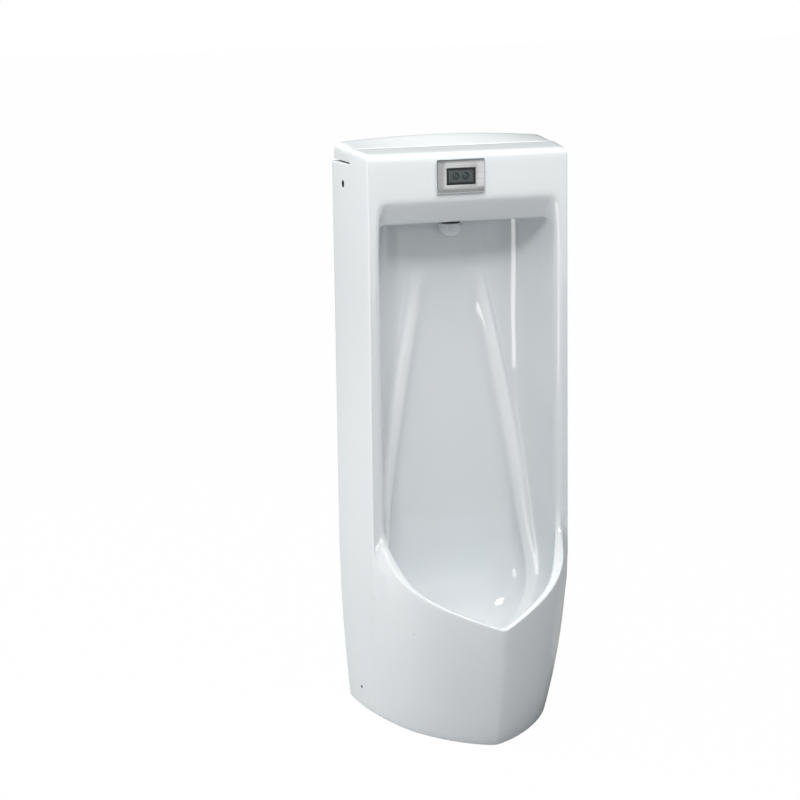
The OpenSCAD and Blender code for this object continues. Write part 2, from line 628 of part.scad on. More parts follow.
// ---- Leads ----
lead_r = 2;
lead_w = housing_back + 14;        // where the leads leave the sides of the sensor housing
lead_end = lead_r + 0.05;
housing_right = sensor_x + housing_w / 2;
housing_left = sensor_x - housing_w / 2;
box_right = box_x + box_size[0];
coil_mid = coil_z + coil_size[2] / 2;
sensor_lead_route = [
    [housing_right + lead_end, lead_w, sensor_z],
    [housing_right + 12, lead_w, sensor_z],
    [solenoid_x - 12, lead_w - 14, sensor_z + 2],
    [solenoid_x, lead_w - 34, coil_mid],
    [solenoid_x, line_w + coil_size[1] / 2 + lead_end, coil_mid]];
battery_lead_route = [
    [box_right + lead_end, box_w + 10, shelf_z + 30],
    [box_right + 10, box_w + 12, shelf_z + 32],
    [box_right + 14, box_w + 40, shelf_z + 44],
    [housing_left - 14, lead_w - 16, sensor_z - 6],
    [housing_left - 10, lead_w, sensor_z],
    [housing_left - lead_end, lead_w, sensor_z]];
module lead(route) for (i = [0 : len(route) - 2]) hull() for (p = [route[i], route[i + 1]])
    at(p[0], p[1], p[2]) sphere(r = lead_r, $fn = 12);
module sensor_lead() color("black") lead(sensor_lead_route);
module battery_lead() color("black") lead(battery_lead_route);

// ---- The drain ----
module drain() at(0, drain_w, 0) children();
flange_t = 4;
tail_t = 3;
tail_low = drain_h - 36;
strainer_seat = drain_h + flange_t - 2;
module drain_flange() color("silver") drain() difference() {
    union() {
        translate([0, 0, drain_h]) cylinder(h = flange_t, r = strainer_r + flange_lip);
        translate([0, 0, tail_low]) cylinder(h = drain_h - tail_low, r = tail_r);
    }
    translate([0, 0, tail_low - eps]) cylinder(h = drain_h, r = tail_r - tail_t);
    translate([0, 0, strainer_seat]) cylinder(h = flange_t, r = strainer_r + slip);
}
flange_lip = 5;
strainer_t = 2.4;
knob_r = 7;
knob_h = 6;
strainer_hole_r = 2.6;
strainer_rings = [[0.45, 6], [0.76, 12]];   // share of the radius and number of holes of each ring
module strainer() color("silver") drain() difference() {
    translate([0, 0, strainer_seat + 0.1]) {
        cylinder(h = strainer_t, r = strainer_r);
        cylinder(h = knob_h, r = knob_r);
    }
    for (ring = strainer_rings, i = [0 : ring[1] - 1]) rotate(360 * i / ring[1])
        translate([ring[0] * strainer_r, 0, strainer_seat - 1]) cylinder(h = knob_h, r = strainer_hole_r);
}
washer_t = 2.5;
china_low = drain_h - china_t;
module drain_washers() color("dimgray") drain() translate([0, 0, china_low - washer_t])
    pipe(washer_t, tail_r + 10, tail_r + seat);
drain_nut_h = 8;
module drain_nut() color("goldenrod") drain() translate([0, 0, china_low - washer_t - drain_nut_h])
    hexagon(drain_nut_h, 2 * tail_r + 16, tail_r + seat);

// ---- The bottle trap ----
cup_z = 14;
cap_z = 46;
cap_h = 2 * outlet_r + 2;
neck_r = tail_r + 5;
wall_t = 3;                         // wall of the trap and the outlet pipe
cap_top = cap_z + cap_h;
dip_low = cup_z + 14;               // lower end of the dip tube
outlet_z = cap_z + outlet_r + 1;
outlet_stub = 8;                    // how far the trap's outlet stands out of its side
module trap_body() color("whitesmoke") difference() {
    union() {
        drain() translate([0, 0, cap_z]) cylinder(h = cap_h, r = trap_r);
        drain() translate([0, 0, cap_top]) cylinder(h = tail_low - cap_top + 4, r = neck_r);
        drain() translate([0, 0, dip_low]) cylinder(h = cap_top - dip_low, r = tail_r - wall_t);
        at(0, drain_w, outlet_z) rotate([-90, 0, 0]) cylinder(h = trap_r + outlet_stub, r = outlet_r);
    }
    drain() difference() {
        translate([0, 0, cap_z - eps]) cylinder(h = cap_h - wall_t, r = trap_r - wall_t);
        cylinder(h = cap_top, r = tail_r - wall_t);
    }
    drain() translate([0, 0, cup_z]) cylinder(h = tail_low - cup_z, r = tail_r - 2 * wall_t + 0.5);
    drain() translate([0, 0, tail_low - 6]) cylinder(h = 40, r = tail_r + seat);
    at(0, drain_w - tail_r, outlet_z) rotate([-90, 0, 0])
        cylinder(h = trap_r - tail_r + outlet_stub + eps, r = outlet_r - wall_t);
}
cup_seal_t = 1;
module trap_cup() color("whitesmoke") drain() difference() {
    translate([0, 0, cup_z]) cylinder(h = cap_z - cup_z - cup_seal_t, r = trap_r);
    translate([0, 0, cup_z + wall_t]) cylinder(h = cap_z, r = trap_r - wall_t);
}
module trap_seals() color("dimgray") drain() translate([0, 0, cap_z - cup_seal_t])
    pipe(cup_seal_t, trap_r, trap_r - wall_t);
module trap_nut() color("whitesmoke") drain() translate([0, 0, cap_top])
    pipe(tail_low - cap_top + 7, neck_r + 4, neck_r + seat);
elbow_r = 26;
outlet_face = drain_w - trap_r - outlet_stub;
module outlet_run(r) {
    at(0, outlet_face, outlet_z) rotate([-90, 0, 0]) cylinder(h = outlet_face - outlet_w - elbow_r, r = r);
    at(0, outlet_w + elbow_r, outlet_z - elbow_r) rotate([0, 0, 90]) rotate([90, 0, 0])
        rotate_extrude(angle = 90) translate([elbow_r, 0]) circle(r);
    at(0, outlet_w, socket_z + 2) cylinder(h = outlet_z - elbow_r - socket_z - 2, r = r);
}
socket_z = 14;      // top of the socket for the waste pipe
flange_h = 28;
module outlet_pipe() color("whitesmoke") difference() {
    outlet_run(outlet_r);
    outlet_run(outlet_r - wall_t);
}
floor_r = 42;
floor_flange_t = 5;
seal_t = 2;
ear_x = 34;         // flange screw holes, either side of the outlet
module floor_flange() color("gray") at(0, outlet_w, 0) difference() {
    union() {
        translate([0, 0, seal_t]) cylinder(h = floor_flange_t, r = floor_r);
        translate([0, 0, seal_t]) cylinder(h = flange_h - seal_t, r = waste_r + 4);
    }
    translate([0, 0, seal_t - eps]) cylinder(h = socket_z - seal_t + eps, r = waste_r);
    translate([0, 0, seal_t]) cylinder(h = flange_h, r = outlet_r - wall_t);
    translate([0, 0, socket_z + 2]) cylinder(h = flange_h, r = outlet_r + seat);
    ear_holes();
}
module ear_holes() for (s = [-1, 1]) translate([s * ear_x, 0, -eps]) cylinder(h = 10, r = 2.75);
module floor_seal() color("dimgray") at(0, outlet_w, 0) difference() {
    pipe(seal_t, floor_r, waste_r + 2);
    ear_holes();
}

// ---- Brackets and fixings ----
bracket_t = 3;
leg_x = cavity_half - slip;
wall_leg = 22;
bolt_r = 3.25;
bracket_h = 36;
bracket_low = high_z - bracket_h / 2;
screw_r = 2.5;                      // side screws
low_screw_r = 2.1;
module wall_brackets() color("silver") both_sides() difference() {
    union() {
        at(leg_x - wall_leg, bracket_t, bracket_low) cube([wall_leg, bracket_t, bracket_h]);
        at(leg_x - bracket_t, high_w + 14, bracket_low) cube([bracket_t, high_w + 14, bracket_h]);
    }
    at(leg_x - 10, high_w, high_z) sideways() cylinder(h = 20, r = screw_r + 0.1);
    at(leg_x - wall_leg + 9, -eps, high_z) outward() cylinder(h = 10, r = bolt_r);
}
low_leg_x = foot_w / 2 - 28;
low_leg = 34;
module floor_brackets() color("silver") both_sides() difference() {
    union() {
        at(low_leg_x - low_leg, low_w + low_leg / 2, 0) cube([low_leg, low_leg, bracket_t]);
        at(low_leg_x - bracket_t, low_w + low_leg / 2, 0) cube([bracket_t, low_leg, low_z + 16]);
    }
    at(low_leg_x - 10, low_w, low_z) sideways() cylinder(h = 20, r = low_screw_r + 0.1);
    at(low_leg_x - low_leg / 2 - 3, low_w, -eps) cylinder(h = 10, r = bolt_r);
}
function side_x(w, z) = side_at(w / header_d, ease(z))[0] * lean(z);
high_x = side_x(high_w, high_z) - 5;       // the screw heads lie just inside the china's face
low_x = side_x(low_w, low_z) - 2.5;
screw_grip = 6;
module side_screws() color("silver") both_sides() {
    at(leg_x - screw_grip, high_w, high_z) sideways()
        cylinder(h = high_x - leg_x + screw_grip, r = screw_r);
    at(high_x, high_w, high_z) sideways() cylinder(h = 3, r = high_hole_r - slip);
    at(low_leg_x - screw_grip, low_w, low_z) sideways()
        cylinder(h = low_x - low_leg_x + screw_grip, r = low_screw_r);
}

body();
lid();
lid_pads();
sensor_plate();
sensor_window();
sensor_lenses();
plate_gasket();
sensor_housing();
sensor_board();
clamp_bar();
clamp_screws();
spreader();
spreader_washer();
spreader_nut();
wall_rose();
stop_valve();
stop_ball();
stop_spindle();
packing_nut();
inlet_filter();
union_nuts();
solenoid_valve();
diaphragm();
bonnet();
bonnet_screws();
coil();
plunger();
plunger_spring();
flush_pipe();
valve_saddle();
battery_box();
battery_cover();
batteries();
battery_contacts();
sensor_lead();
battery_lead();
strainer();
drain_flange();
drain_washers();
drain_nut();
trap_body();
trap_cup();
trap_seals();
trap_nut();
outlet_pipe();
floor_flange();
floor_seal();
wall_brackets();
floor_brackets();
side_screws();
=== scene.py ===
import json
import math

import bmesh
import bpy
from mathutils import Euler, Matrix, Vector


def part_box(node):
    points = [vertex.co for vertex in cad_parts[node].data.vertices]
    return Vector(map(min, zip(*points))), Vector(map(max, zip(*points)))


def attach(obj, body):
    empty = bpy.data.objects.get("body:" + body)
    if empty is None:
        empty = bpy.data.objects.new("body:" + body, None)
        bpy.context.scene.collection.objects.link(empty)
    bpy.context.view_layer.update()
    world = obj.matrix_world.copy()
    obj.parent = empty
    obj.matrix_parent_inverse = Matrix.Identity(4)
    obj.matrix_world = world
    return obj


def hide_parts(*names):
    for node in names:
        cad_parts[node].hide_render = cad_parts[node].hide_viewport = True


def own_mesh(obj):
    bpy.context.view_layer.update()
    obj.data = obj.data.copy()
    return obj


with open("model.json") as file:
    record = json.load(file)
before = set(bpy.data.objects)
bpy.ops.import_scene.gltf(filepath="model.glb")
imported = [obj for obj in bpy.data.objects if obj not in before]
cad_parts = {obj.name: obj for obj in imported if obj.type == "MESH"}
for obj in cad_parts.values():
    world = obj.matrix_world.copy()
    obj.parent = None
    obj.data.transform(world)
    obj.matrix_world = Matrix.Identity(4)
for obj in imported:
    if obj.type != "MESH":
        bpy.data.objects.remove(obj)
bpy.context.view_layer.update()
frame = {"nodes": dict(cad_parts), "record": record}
print("frame loaded:", len(frame["nodes"]), "nodes")

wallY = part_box("body")[1].y          # the building's wall, behind the body
scene = bpy.context.scene


# Places are written as x to the right, w outward from the wall, and z up, in metres
def at(x, w, z):
    return Vector((x, wallY - w, z))


def mix(a, b, share):
    return a + (b - a) * share


# How far a value is on its way from low to high, from 0 to 1
def shareOf(value, low, high):
    return min(1.0, max(0.0, (value - low) / (high - low)))


def ramp(value, low, high):
    share = shareOf(value, low, high)
    return share * share * (3 - 2 * share)


def bezier(points, t):
    sides = [mix(Vector(points[i]), Vector(points[i + 1]), t) for i in range(3)]
    return mix(mix(sides[0], sides[1], t), mix(sides[1], sides[2], t), t)


# ---- Camera ----
camera = {
    "target": (0.0, 0.170, 0.450),
    "targetPixel": (474.28, 445.35),     # where the target shows in the picture
    "framePixels": 800,
    "focalPixels": 1802.42,
    "distance": 2.73508,
    "yaw": 18.0,
    "pitch": 14.47,
    "roll": -0.38,
    "sensorWidth": 36.0,
}


def makeCamera():
    yaw, pitch = math.radians(camera["yaw"]), math.radians(camera["pitch"])
    away = Vector((-math.sin(yaw) * math.cos(pitch), -math.cos(yaw) * math.cos(pitch), math.sin(pitch)))
    right = (-away).cross(Vector((0, 0, 1))).normalized()
    up = right.cross(-away)
    middle = camera["framePixels"] / 2
    sideTurn, downTurn = [math.atan2(shown - middle, camera["focalPixels"]) for shown in camera["targetPixel"]]
    turn = Matrix.Rotation(sideTurn, 3, up)
    right, back = turn @ right, turn @ away
    turn = Matrix.Rotation(downTurn, 3, right)
    up, back = turn @ up, turn @ back
    turn = Matrix.Rotation(math.radians(camera["roll"]), 3, back)
    right, up = turn @ right, turn @ up
    data = bpy.data.cameras.new("camera")
    data.sensor_width = camera["sensorWidth"]
    data.lens = camera["focalPixels"] / camera["framePixels"] * data.sensor_width
    obj = bpy.data.objects.new("camera", data)
    stand = Matrix((right, up, back)).transposed().to_4x4()
    stand.translation = at(*camera["target"]) + away * camera["distance"]
    obj.matrix_world = stand
    scene.collection.objects.link(obj)
    scene.camera = obj


makeCamera()


# ---- Node helpers ----
# A node group: its inputs are written as label, kind and value, and its one output as label and kind
def newGroup(name, inputs, output):
    group = bpy.data.node_groups.new(name, "ShaderNodeTree")
    for label, kind, value in inputs:
        socket = group.interface.new_socket(name=label, in_out="INPUT", socket_type="NodeSocket" + kind)
        socket.default_value = value
    group.interface.new_socket(name=output[0], in_out="OUTPUT", socket_type="NodeSocket" + output[1])
    return group, group.nodes.new("NodeGroupInput"), group.nodes.new("NodeGroupOutput")


def node(tree, kind, values=None, **settings):
    made = tree.nodes.new(kind)
    for key, value in settings.items():
        setattr(made, key, value)
    for key, value in (values or {}).items():
        made.inputs[key].default_value = value
    return made


# Links, each written as node, output, node, input
def wire(tree, *links):
    for source, output, target, inlet in links:
        tree.links.new(source.outputs[output], target.inputs[inlet])


def newMaterial(name, **values):
    material = bpy.data.materials.new(name)
    material.use_nodes = True
    shader = material.node_tree.nodes["Principled BSDF"]
    for key, value in values.items():
        shader.inputs[key.replace("_", " ")].default_value = value
    return material, material.node_tree, shader


# Slow waves, in the surface of a glaze or of a sheet
def makeWaves():
    group, inside, out = newGroup("surfaceWaves", [("Scale", "Float", 20.0), ("Height", "Float", 0.0005),
        ("Detail", "Float", 1.0)], ("Normal", "Vector"))
    coord = node(group, "ShaderNodeTexCoord")
    noise = node(group, "ShaderNodeTexNoise", {"Roughness": 0.4})
    bump = node(group, "ShaderNodeBump", {"Strength": 1.0})
    wire(group, (coord, "Object", noise, "Vector"), (inside, "Scale", noise, "Scale"),
        (inside, "Detail", noise, "Detail"), (inside, "Height", bump, "Distance"),
        (noise, "Fac", bump, "Height"), (bump, "Normal", out, "Normal"))
    return group


# Small dark or pale marks, 1 inside a mark
def makeSpecks():
    group, inside, out = newGroup("specks",
        [("Scale", "Float", 150.0), ("Size", "Float", 0.12), ("Share", "Float", 0.05)], ("Mask", "Float"))
    coord = node(group, "ShaderNodeTexCoord")
    cells = node(group, "ShaderNodeTexVoronoi", {"Randomness": 1.0}, feature="F1")
    near = node(group, "ShaderNodeMath", operation="LESS_THAN")
    chosen = node(group, "ShaderNodeSeparateColor")
    few = node(group, "ShaderNodeMath", operation="LESS_THAN")
    both = node(group, "ShaderNodeMath", operation="MULTIPLY")
    wire(group, (coord, "Object", cells, "Vector"), (inside, "Scale", cells, "Scale"),
        (cells, "Distance", near, 0), (inside, "Size", near, 1), (cells, "Color", chosen, "Color"),
        (chosen, "Red", few, 0), (inside, "Share", few, 1), (near, 0, both, 0), (few, 0, both, 1),
        (both, 0, out, "Mask"))
    return group


# A soft uneven mask from 0 to 1, stretched along the axes by Stretch
def makeMottle():
    group, inside, out = newGroup("mottle", [("Scale", "Float", 30.0), ("Stretch", "Vector", (1.0, 1.0, 1.0)),
        ("Low", "Float", 0.35), ("High", "Float", 0.65)], ("Mask", "Float"))
    coord = node(group, "ShaderNodeTexCoord")
    stretch = node(group, "ShaderNodeVectorMath", operation="MULTIPLY")
    noise = node(group, "ShaderNodeTexNoise", {"Detail": 3.0})
    spread = node(group, "ShaderNodeMapRange")
    wire(group, (coord, "Object", stretch, 0), (inside, "Stretch", stretch, 1), (stretch, 0, noise, "Vector"),
        (inside, "Scale", noise, "Scale"), (noise, "Fac", spread, "Value"),
        (inside, "Low", spread, "From Min"), (inside, "High", spread, "From Max"),
        (spread, "Result", out, "Mask"))
    return group


waves, specks, mottle = makeWaves(), makeSpecks(), makeMottle()


def place(tree, group, **values):
    made = tree.nodes.new("ShaderNodeGroup")
    made.node_tree = group
    for key, value in values.items():
        made.inputs[key].default_value = value
    return made


# Two colours mixed by a mask, each written as a colour or given by a node's output
def tinted(tree, mask, first, second):
    blend = node(tree, "ShaderNodeMix", data_type="RGBA")
    for index, colour in ((6, first), (7, second)):
        if isinstance(colour, bpy.types.NodeSocket):
            tree.links.new(colour, blend.inputs[index])
        else:
            blend.inputs[index].default_value = (*colour, 1.0)
    tree.links.new(mask, blend.inputs[0])
    return blend.outputs[2]


# A material's colour, its roughness between two values by a mask, and fine waves in its surface
def dress(tree, shader, colour, mask, roughness, scale, height, detail):
    spread = node(tree, "ShaderNodeMapRange", {"To Min": roughness[0], "To Max": roughness[1]})
    fine = place(tree, waves, Scale=scale, Height=height, Detail=detail)
    tree.links.new(colour, shader.inputs["Base Color"])
    tree.links.new(mask, spread.inputs["Value"])
    wire(tree, (spread, "Result", shader, "Roughness"), (fine, "Normal", shader, "Normal"))


glaze = {
    "colour": (0.805, 0.843, 0.868),
    "thin": (0.815, 0.848, 0.866),      # where the glaze runs thinner
    # painted highlight: the paler colour the rib crests get, standing in for the light they catch
    "crestHighlight": (0.93, 0.955, 0.97),
    "speck": (0.42, 0.40, 0.38),
    "roughness": (0.05, 0.085),
    "wave": (16.0, 0.00022, 1.0),       # scale, height and detail
}


def makeGlaze():
    material, tree, shader = newMaterial("glazedChina", IOR=1.52, Coat_Weight=0.5, Coat_Roughness=0.03)
    soft = place(tree, mottle, Scale=7.0, Low=0.3, High=0.7).outputs["Mask"]
    dots = place(tree, specks, Scale=52.0, Size=0.045, Share=0.035).outputs["Mask"]
    # Painted highlight on the rib crests, by the per-corner share the body's mesh carries
    crest = node(tree, "ShaderNodeAttribute", attribute_name="crestHighlight").outputs["Fac"]
    tone = tinted(tree, soft, glaze["colour"], glaze["thin"])
    tone = tinted(tree, crest, tone, glaze["crestHighlight"])
    tone = tinted(tree, dots, tone, glaze["speck"])
    dress(tree, shader, tone, soft, glaze["roughness"], *glaze["wave"])
    return material


bisque = {
    "colour": (0.72, 0.70, 0.66),
    "worn": (0.655, 0.635, 0.59),
    "roughness": (0.55, 0.8),
    "grain": (600.0, 0.0002, 3.0),
}


def makeBisque():
    material, tree, shader = newMaterial("unglazedChina", IOR=1.45)
    soft = place(tree, mottle, Scale=60.0, Low=0.3, High=0.75).outputs["Mask"]
    tone = tinted(tree, soft, bisque["colour"], bisque["worn"])
    dress(tree, shader, tone, soft, bisque["roughness"], *bisque["grain"])
    return material


glazedChina, unglazedChina = makeGlaze(), makeBisque()

# Two colours, range of roughness, scale of the unevenness, and scale and height of the grain.
# Then, where they aren't the plain ones: share of metal, stretch of the unevenness, and coat
plainFinish = {"metal": 0.0, "stretch": (1, 1, 1), "coat": 0.0}
brushed = {"metal": 1.0, "stretch": (0.06, 1, 9)}
finishes = {
    "steel": ((0.80, 0.81, 0.82), (0.70, 0.71, 0.73), (0.26, 0.36), 60, (500, 0.00002), brushed),
    "plate": ((0.93, 0.93, 0.94), (0.90, 0.90, 0.91), (0.17, 0.22), 60, (300, 0.000006), brushed),
    "chrome": ((0.83, 0.84, 0.85), (0.76, 0.77, 0.79), (0.04, 0.10), 25, (30, 0.00003), {"metal": 1.0}),
    "brass": ((0.78, 0.58, 0.27), (0.62, 0.44, 0.19), (0.22, 0.38), 45, (700, 0.00003),
        {"metal": 1.0, "stretch": (1, 1, 5)}),
    "window": ((0.044, 0.056, 0.058), (0.052, 0.064, 0.066), (0.10, 0.16), 120, (60, 0.00001), {"coat": 0.8}),
    "lens": ((0.040, 0.050, 0.052), (0.048, 0.058, 0.060), (0.03, 0.06), 200, (90, 0.00001), {"coat": 1.0}),
    "rubber": ((0.030, 0.030, 0.032), (0.048, 0.047, 0.046), (0.60, 0.82), 90, (1400, 0.00005), {}),
    "white_plastic": ((0.76, 0.76, 0.74), (0.70, 0.70, 0.67), (0.28, 0.40), 35, (900, 0.00003), {"coat": 0.15}),
    "grey_plastic": ((0.115, 0.120, 0.125), (0.085, 0.088, 0.092), (0.42, 0.58), 70, (1500, 0.00004), {}),
    "black_plastic": ((0.018, 0.018, 0.020), (0.028, 0.028, 0.030), (0.36, 0.52), 70, (1500, 0.00004),
        {"coat": 0.05}),
    "board": ((0.016, 0.110, 0.045), (0.030, 0.150, 0.065), (0.25, 0.38), 160, (500, 0.00003), {"coat": 0.3}),
    "cell": ((0.62, 0.22, 0.035), (0.55, 0.18, 0.030), (0.24, 0.34), 40, (120, 0.00002),
        {"metal": 0.3, "stretch": (1, 1, 0.2), "coat": 0.4}),
    "spring_steel": ((0.62, 0.62, 0.64), (0.48, 0.48, 0.50), (0.20, 0.34), 150, (600, 0.00002),
        {"metal": 1.0, "stretch": (1, 1, 6)}),
}
board = {"track": (0.42, 0.31, 0.12), "brick": (0.0075, 0.0030), "line": 0.0006}
cell = {"endColour": (0.05, 0.05, 0.055), "band": (0.8045, 0.8405)}     # heights of the coloured sleeve


# Copper tracks on a circuit board, 1 on a track
def trackMask(tree):
    coord = node(tree, "ShaderNodeTexCoord")
    turn = node(tree, "ShaderNodeMapping", {"Rotation": (math.pi / 2, 0, 0)})
    bricks = node(tree, "ShaderNodeTexBrick", {"Scale": 1.0, "Mortar Size": board["line"],
        "Mortar Smooth": 0.0, "Brick Width": board["brick"][0], "Row Height": board["brick"][1]})
    wire(tree, (coord, "Object", turn, "Vector"), (turn, "Vector", bricks, "Vector"))
    return bricks.outputs["Fac"]


# 1 above and below the coloured band of a cell's sleeve
def endMask(tree):
    low, high = cell["band"]
    coord = node(tree, "ShaderNodeTexCoord")
    split = node(tree, "ShaderNodeSeparateXYZ")
    inside = node(tree, "ShaderNodeMath", {1: (low + high) / 2, 2: (high - low) / 2}, operation="COMPARE")
    outside = node(tree, "ShaderNodeMath", {0: 1.0}, operation="SUBTRACT")
    wire(tree, (coord, "Object", split, 0), (split, "Z", inside, 0), (inside, 0, outside, 1))
    return outside.outputs[0]


overlays = {"board": (trackMask, board["track"]), "cell": (endMask, cell["endColour"])}


def makeFinish(name):
    first, second, roughness, scale, grain, special = finishes[name]
    extra = {**plainFinish, **special}
    material, tree, shader = newMaterial(name, Metallic=extra["metal"], Coat_Weight=extra["coat"],
        Coat_Roughness=0.05)
    uneven = place(tree, mottle, Scale=scale, Stretch=extra["stretch"], Low=0.35, High=0.65).outputs["Mask"]
    colour = tinted(tree, uneven, first, second)
    if name in overlays:
        maskOf, over = overlays[name]
        colour = tinted(tree, maskOf(tree), colour, over)
    dress(tree, shader, colour, uneven, roughness, *grain, 2.0)
    return material


finish = {name: makeFinish(name) for name in finishes}


# ---- Mesh helpers ----
joinWithin = 0.00002        # corners nearer than this become one


# A grid of faces whose corners are placed one by one by column and row
def patch(bm, columns, rows, pointAt, layer=None, valueAt=None):
    made = bmesh.ops.create_grid(bm, x_segments=columns, y_segments=rows, size=0.5)["verts"]
    for vert in made:
        column = round((vert.co.x + 0.5) * columns)
        row = round((vert.co.y + 0.5) * rows)
        vert.co = pointAt(column, row)
        if layer:
            vert[layer] = valueAt(column, row)


# The left half, from the right one
def mirrorHalf(bm):
    bmesh.ops.mirror(bm, geom=bm.verts[:] + bm.edges[:] + bm.faces[:], axis="X", merge_dist=joinWithin)
    bmesh.ops.remove_doubles(bm, verts=bm.verts, dist=joinWithin)


# Flat faces over the openings of a mesh, which at these heights are parted along the wall
def closeHoles(bm, *wallHeights):
    for height in wallHeights:
        bm.edges.new([v for v in bm.verts if abs(v.co.z - height) < 1e-6 and abs(v.co.y - wallY) < 1e-6])
    bmesh.ops.holes_fill(bm, edges=[e for e in bm.edges if len(e.link_faces) < 2], sides=0)


# Normals of a closed mesh turned outward
def faceOutward(bm):
    bmesh.ops.recalc_face_normals(bm, faces=bm.faces)
    if bm.calc_volume(signed=True) < 0:
        bmesh.ops.reverse_faces(bm, faces=bm.faces)


def meshObject(bm, name, materials, smooth=True):
    mesh = bpy.data.meshes.new(name)
    for face in bm.faces:
        face.smooth = smooth
    bm.to_mesh(mesh)
    bm.free()
    obj = bpy.data.objects.new(name, mesh)
    scene.collection.objects.link(obj)
    for material in materials:
        mesh.materials.append(material)
    return obj


def modify(obj, kind, **settings):
    modifier = obj.modifiers.new(kind.lower(), kind)
    for key, value in settings.items():
        setattr(modifier, key, value)


# The modifiers of a piece worked into its mesh
def bake(obj):
    graph = bpy.context.evaluated_depsgraph_get()
    mesh = bpy.data.meshes.new_from_object(obj.evaluated_get(graph))
    old = obj.data
    obj.modifiers.clear()
    obj.data = mesh
    name = old.name
    bpy.data.meshes.remove(old)
    mesh.name = name


def cut(obj, cutter):
    modify(obj, "BOOLEAN", object=cutter, operation="DIFFERENCE", solver="MANIFOLD", material_mode="TRANSFER")
    bake(obj)
    bpy.data.objects.remove(cutter)


# A piece whose edges are rounded by what radiusAt gives for their middle and direction
def roundedPiece(bm, name, materials, radiusAt, sharpest, widest, segments):
    weight = bm.edges.layers.float.new("bevel_weight_edge")
    for edge in bm.edges:
        if len(edge.link_faces) == 2 and edge.calc_face_angle(0) > math.radians(sharpest):
            first, second = edge.verts
            direction = (second.co - first.co).normalized()
            edge[weight] = radiusAt((first.co + second.co) / 2, direction) / widest
    obj = meshObject(bm, name, materials)
    modify(obj, "BEVEL", limit_method="WEIGHT", width=widest, segments=segments, profile=0.5,
        use_clamp_overlap=False)
    return obj


replaced = []


# The last step of each new piece: what it rides on, the CAD node it stands for, and the angle above which its
# edges shade sharp
def finished(obj, nodeName, bodyName="urinal", degrees=35):
    obj.data.set_sharp_from_angle(angle=math.radians(degrees))
    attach(obj, bodyName)
    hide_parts(nodeName)
    replaced.append(nodeName)
    print(nodeName + ":", len(obj.data.polygons), "faces")


# ---- The china body ----
china = {
    "height": 0.890,
    "backWidth": 0.348,
    "frontWidth": 0.316,
    "headerDepth": 0.154,
    "depth": 0.3145,            # to the sharp keel, before it is rounded
    "footWidth": 0.323,
    "footDepth": 0.2660,
    "tipHeight": 0.200,
    "taperOver": 0.072,         # above the tip, the outline still spreads over this height
    "bowlTaper": 0.030,         # and the bowl's over this one
    "rimHeight": 0.292,
    "rimRise": 0.014,           # from there up to where a post's front begins
    "sideBow": 0.001,
    "lean": 0.022,
    "postWidth": 0.020,
    "headerHeight": 0.070,
    "soffitHeight": 0.035,
    "soffitDepth": 0.024,
    "nicheBack": 0.038,
    "backBow": 0.010,           # how far the niche's back has come forward at its corners
    "drainHeight": 0.120,
    "drainOut": 0.150,
    "sumpRadius": 0.046,
    "sumpRise": 0.020,          # below this height over the drain, the niche's plan stays as it is
    "rimThickness": 0.017,
    "topRise": 0.005,
    "lidDepth": 0.080,
    "notchHeight": 0.8725,
    "wall": 0.012,
    "keelSlope": (0.23, 0.575),  # how far the prow falls back per metre sideways, at the floor and higher up
    "rimDrop": 0.009,           # the rim slopes down toward the bowl by this much
    "rimPinch": 0.001,          # and begins this much farther in beside a post
    "postMiddle": 0.46,         # at this share of the post's width
    "cornerCut": 0.0035,        # the opening's upper corners
    # Radii of the rounded edges
    "cornerRound": 0.0016,
    "cornerFade": ((0.26, 0.0025), (0.215, 0.0035)),     # wider below the posts: heights and radii
    "postRound": 0.0085,
    "rimRound": 0.0030,
    "rimInner": 0.0060,
    "headerRound": 0.0050,
    "soffitRound": 0.0040,
    "topRound": 0.0080,
    "topSideRound": 0.0050,
    "ledgeRound": 0.0015,
    "footRound": 0.0020,
    "ceilingRound": 0.0090,
    "keelRound": (0.012, 0.011),  # at the floor and toward the rim
}
rib = {
    "rise": 0.0110,
    "half": (0.0190, 0.0135),    # half its width over the bowl and under the header
    "narrowing": (0.25, 0.65),   # heights between which it narrows
    "spread": 0.200,             # how far it slants outward per metre down
    "middle": 0.060,             # distance from the centre line at middleHeight, along the wall
    "middleHeight": 0.640,
    "nearest": 0.044,            # it comes no closer to the centre line
    "soffitGap": 0.004,          # or to the post
    "fadeTop": (0.725, 0.590),
    "fadeLow": (0.100, 0.138),
    "highlightFade": (0.010, 0.045),  # heights over the drain between which the painted highlight on its crest fades in
    "bend": 0.285,               # below this height it slants more and widens, per metre down
    "bendSpread": 0.10,
    "bendWiden": 0.045,
}
# Control points of the foot's outline, as shares of its width and depth
footSide = [(1, 0), (0.98, 0.19), (0.88, 0.4), (0.731, 0.583)]
footProw = [(0.731, 0.583), (0.585, 0.751), (0.31, 0.928), (0, 1)]
topZ, tipZ, rimZ = china["height"], china["tipHeight"], china["rimHeight"]
lidW, drainW = china["lidDepth"], china["drainOut"]
fullHeight = tipZ + china["taperOver"]


# How far the outline has spread from the foot's to the full one
def ease(z):
    return 1 if z >= fullHeight else 1 - (1 - z / fullHeight) ** 2


def leanAt(z):
    return 1 if z <= fullHeight else 1 - china["lean"] * (z - fullHeight) / (topZ - fullHeight)


halfFront, halfBack = china["frontWidth"] / 2, china["backWidth"] / 2
headerW = china["headerDepth"]
tipFull = china["footDepth"] + (china["depth"] - china["footDepth"]) / ease(tipZ)
rimSide = [(halfBack, 0), (mix(halfBack, halfFront, 1 / 3) + china["sideBow"], headerW / 3),
    (mix(halfBack, halfFront, 2 / 3) + china["sideBow"], headerW * 2 / 3), (halfFront, headerW)]
rimProw = [(halfFront, headerW), (halfFront * 0.746, mix(headerW, tipFull, 0.46)),
    (halfFront * 0.77, mix(headerW, tipFull, 0.55)), (0, tipFull)]


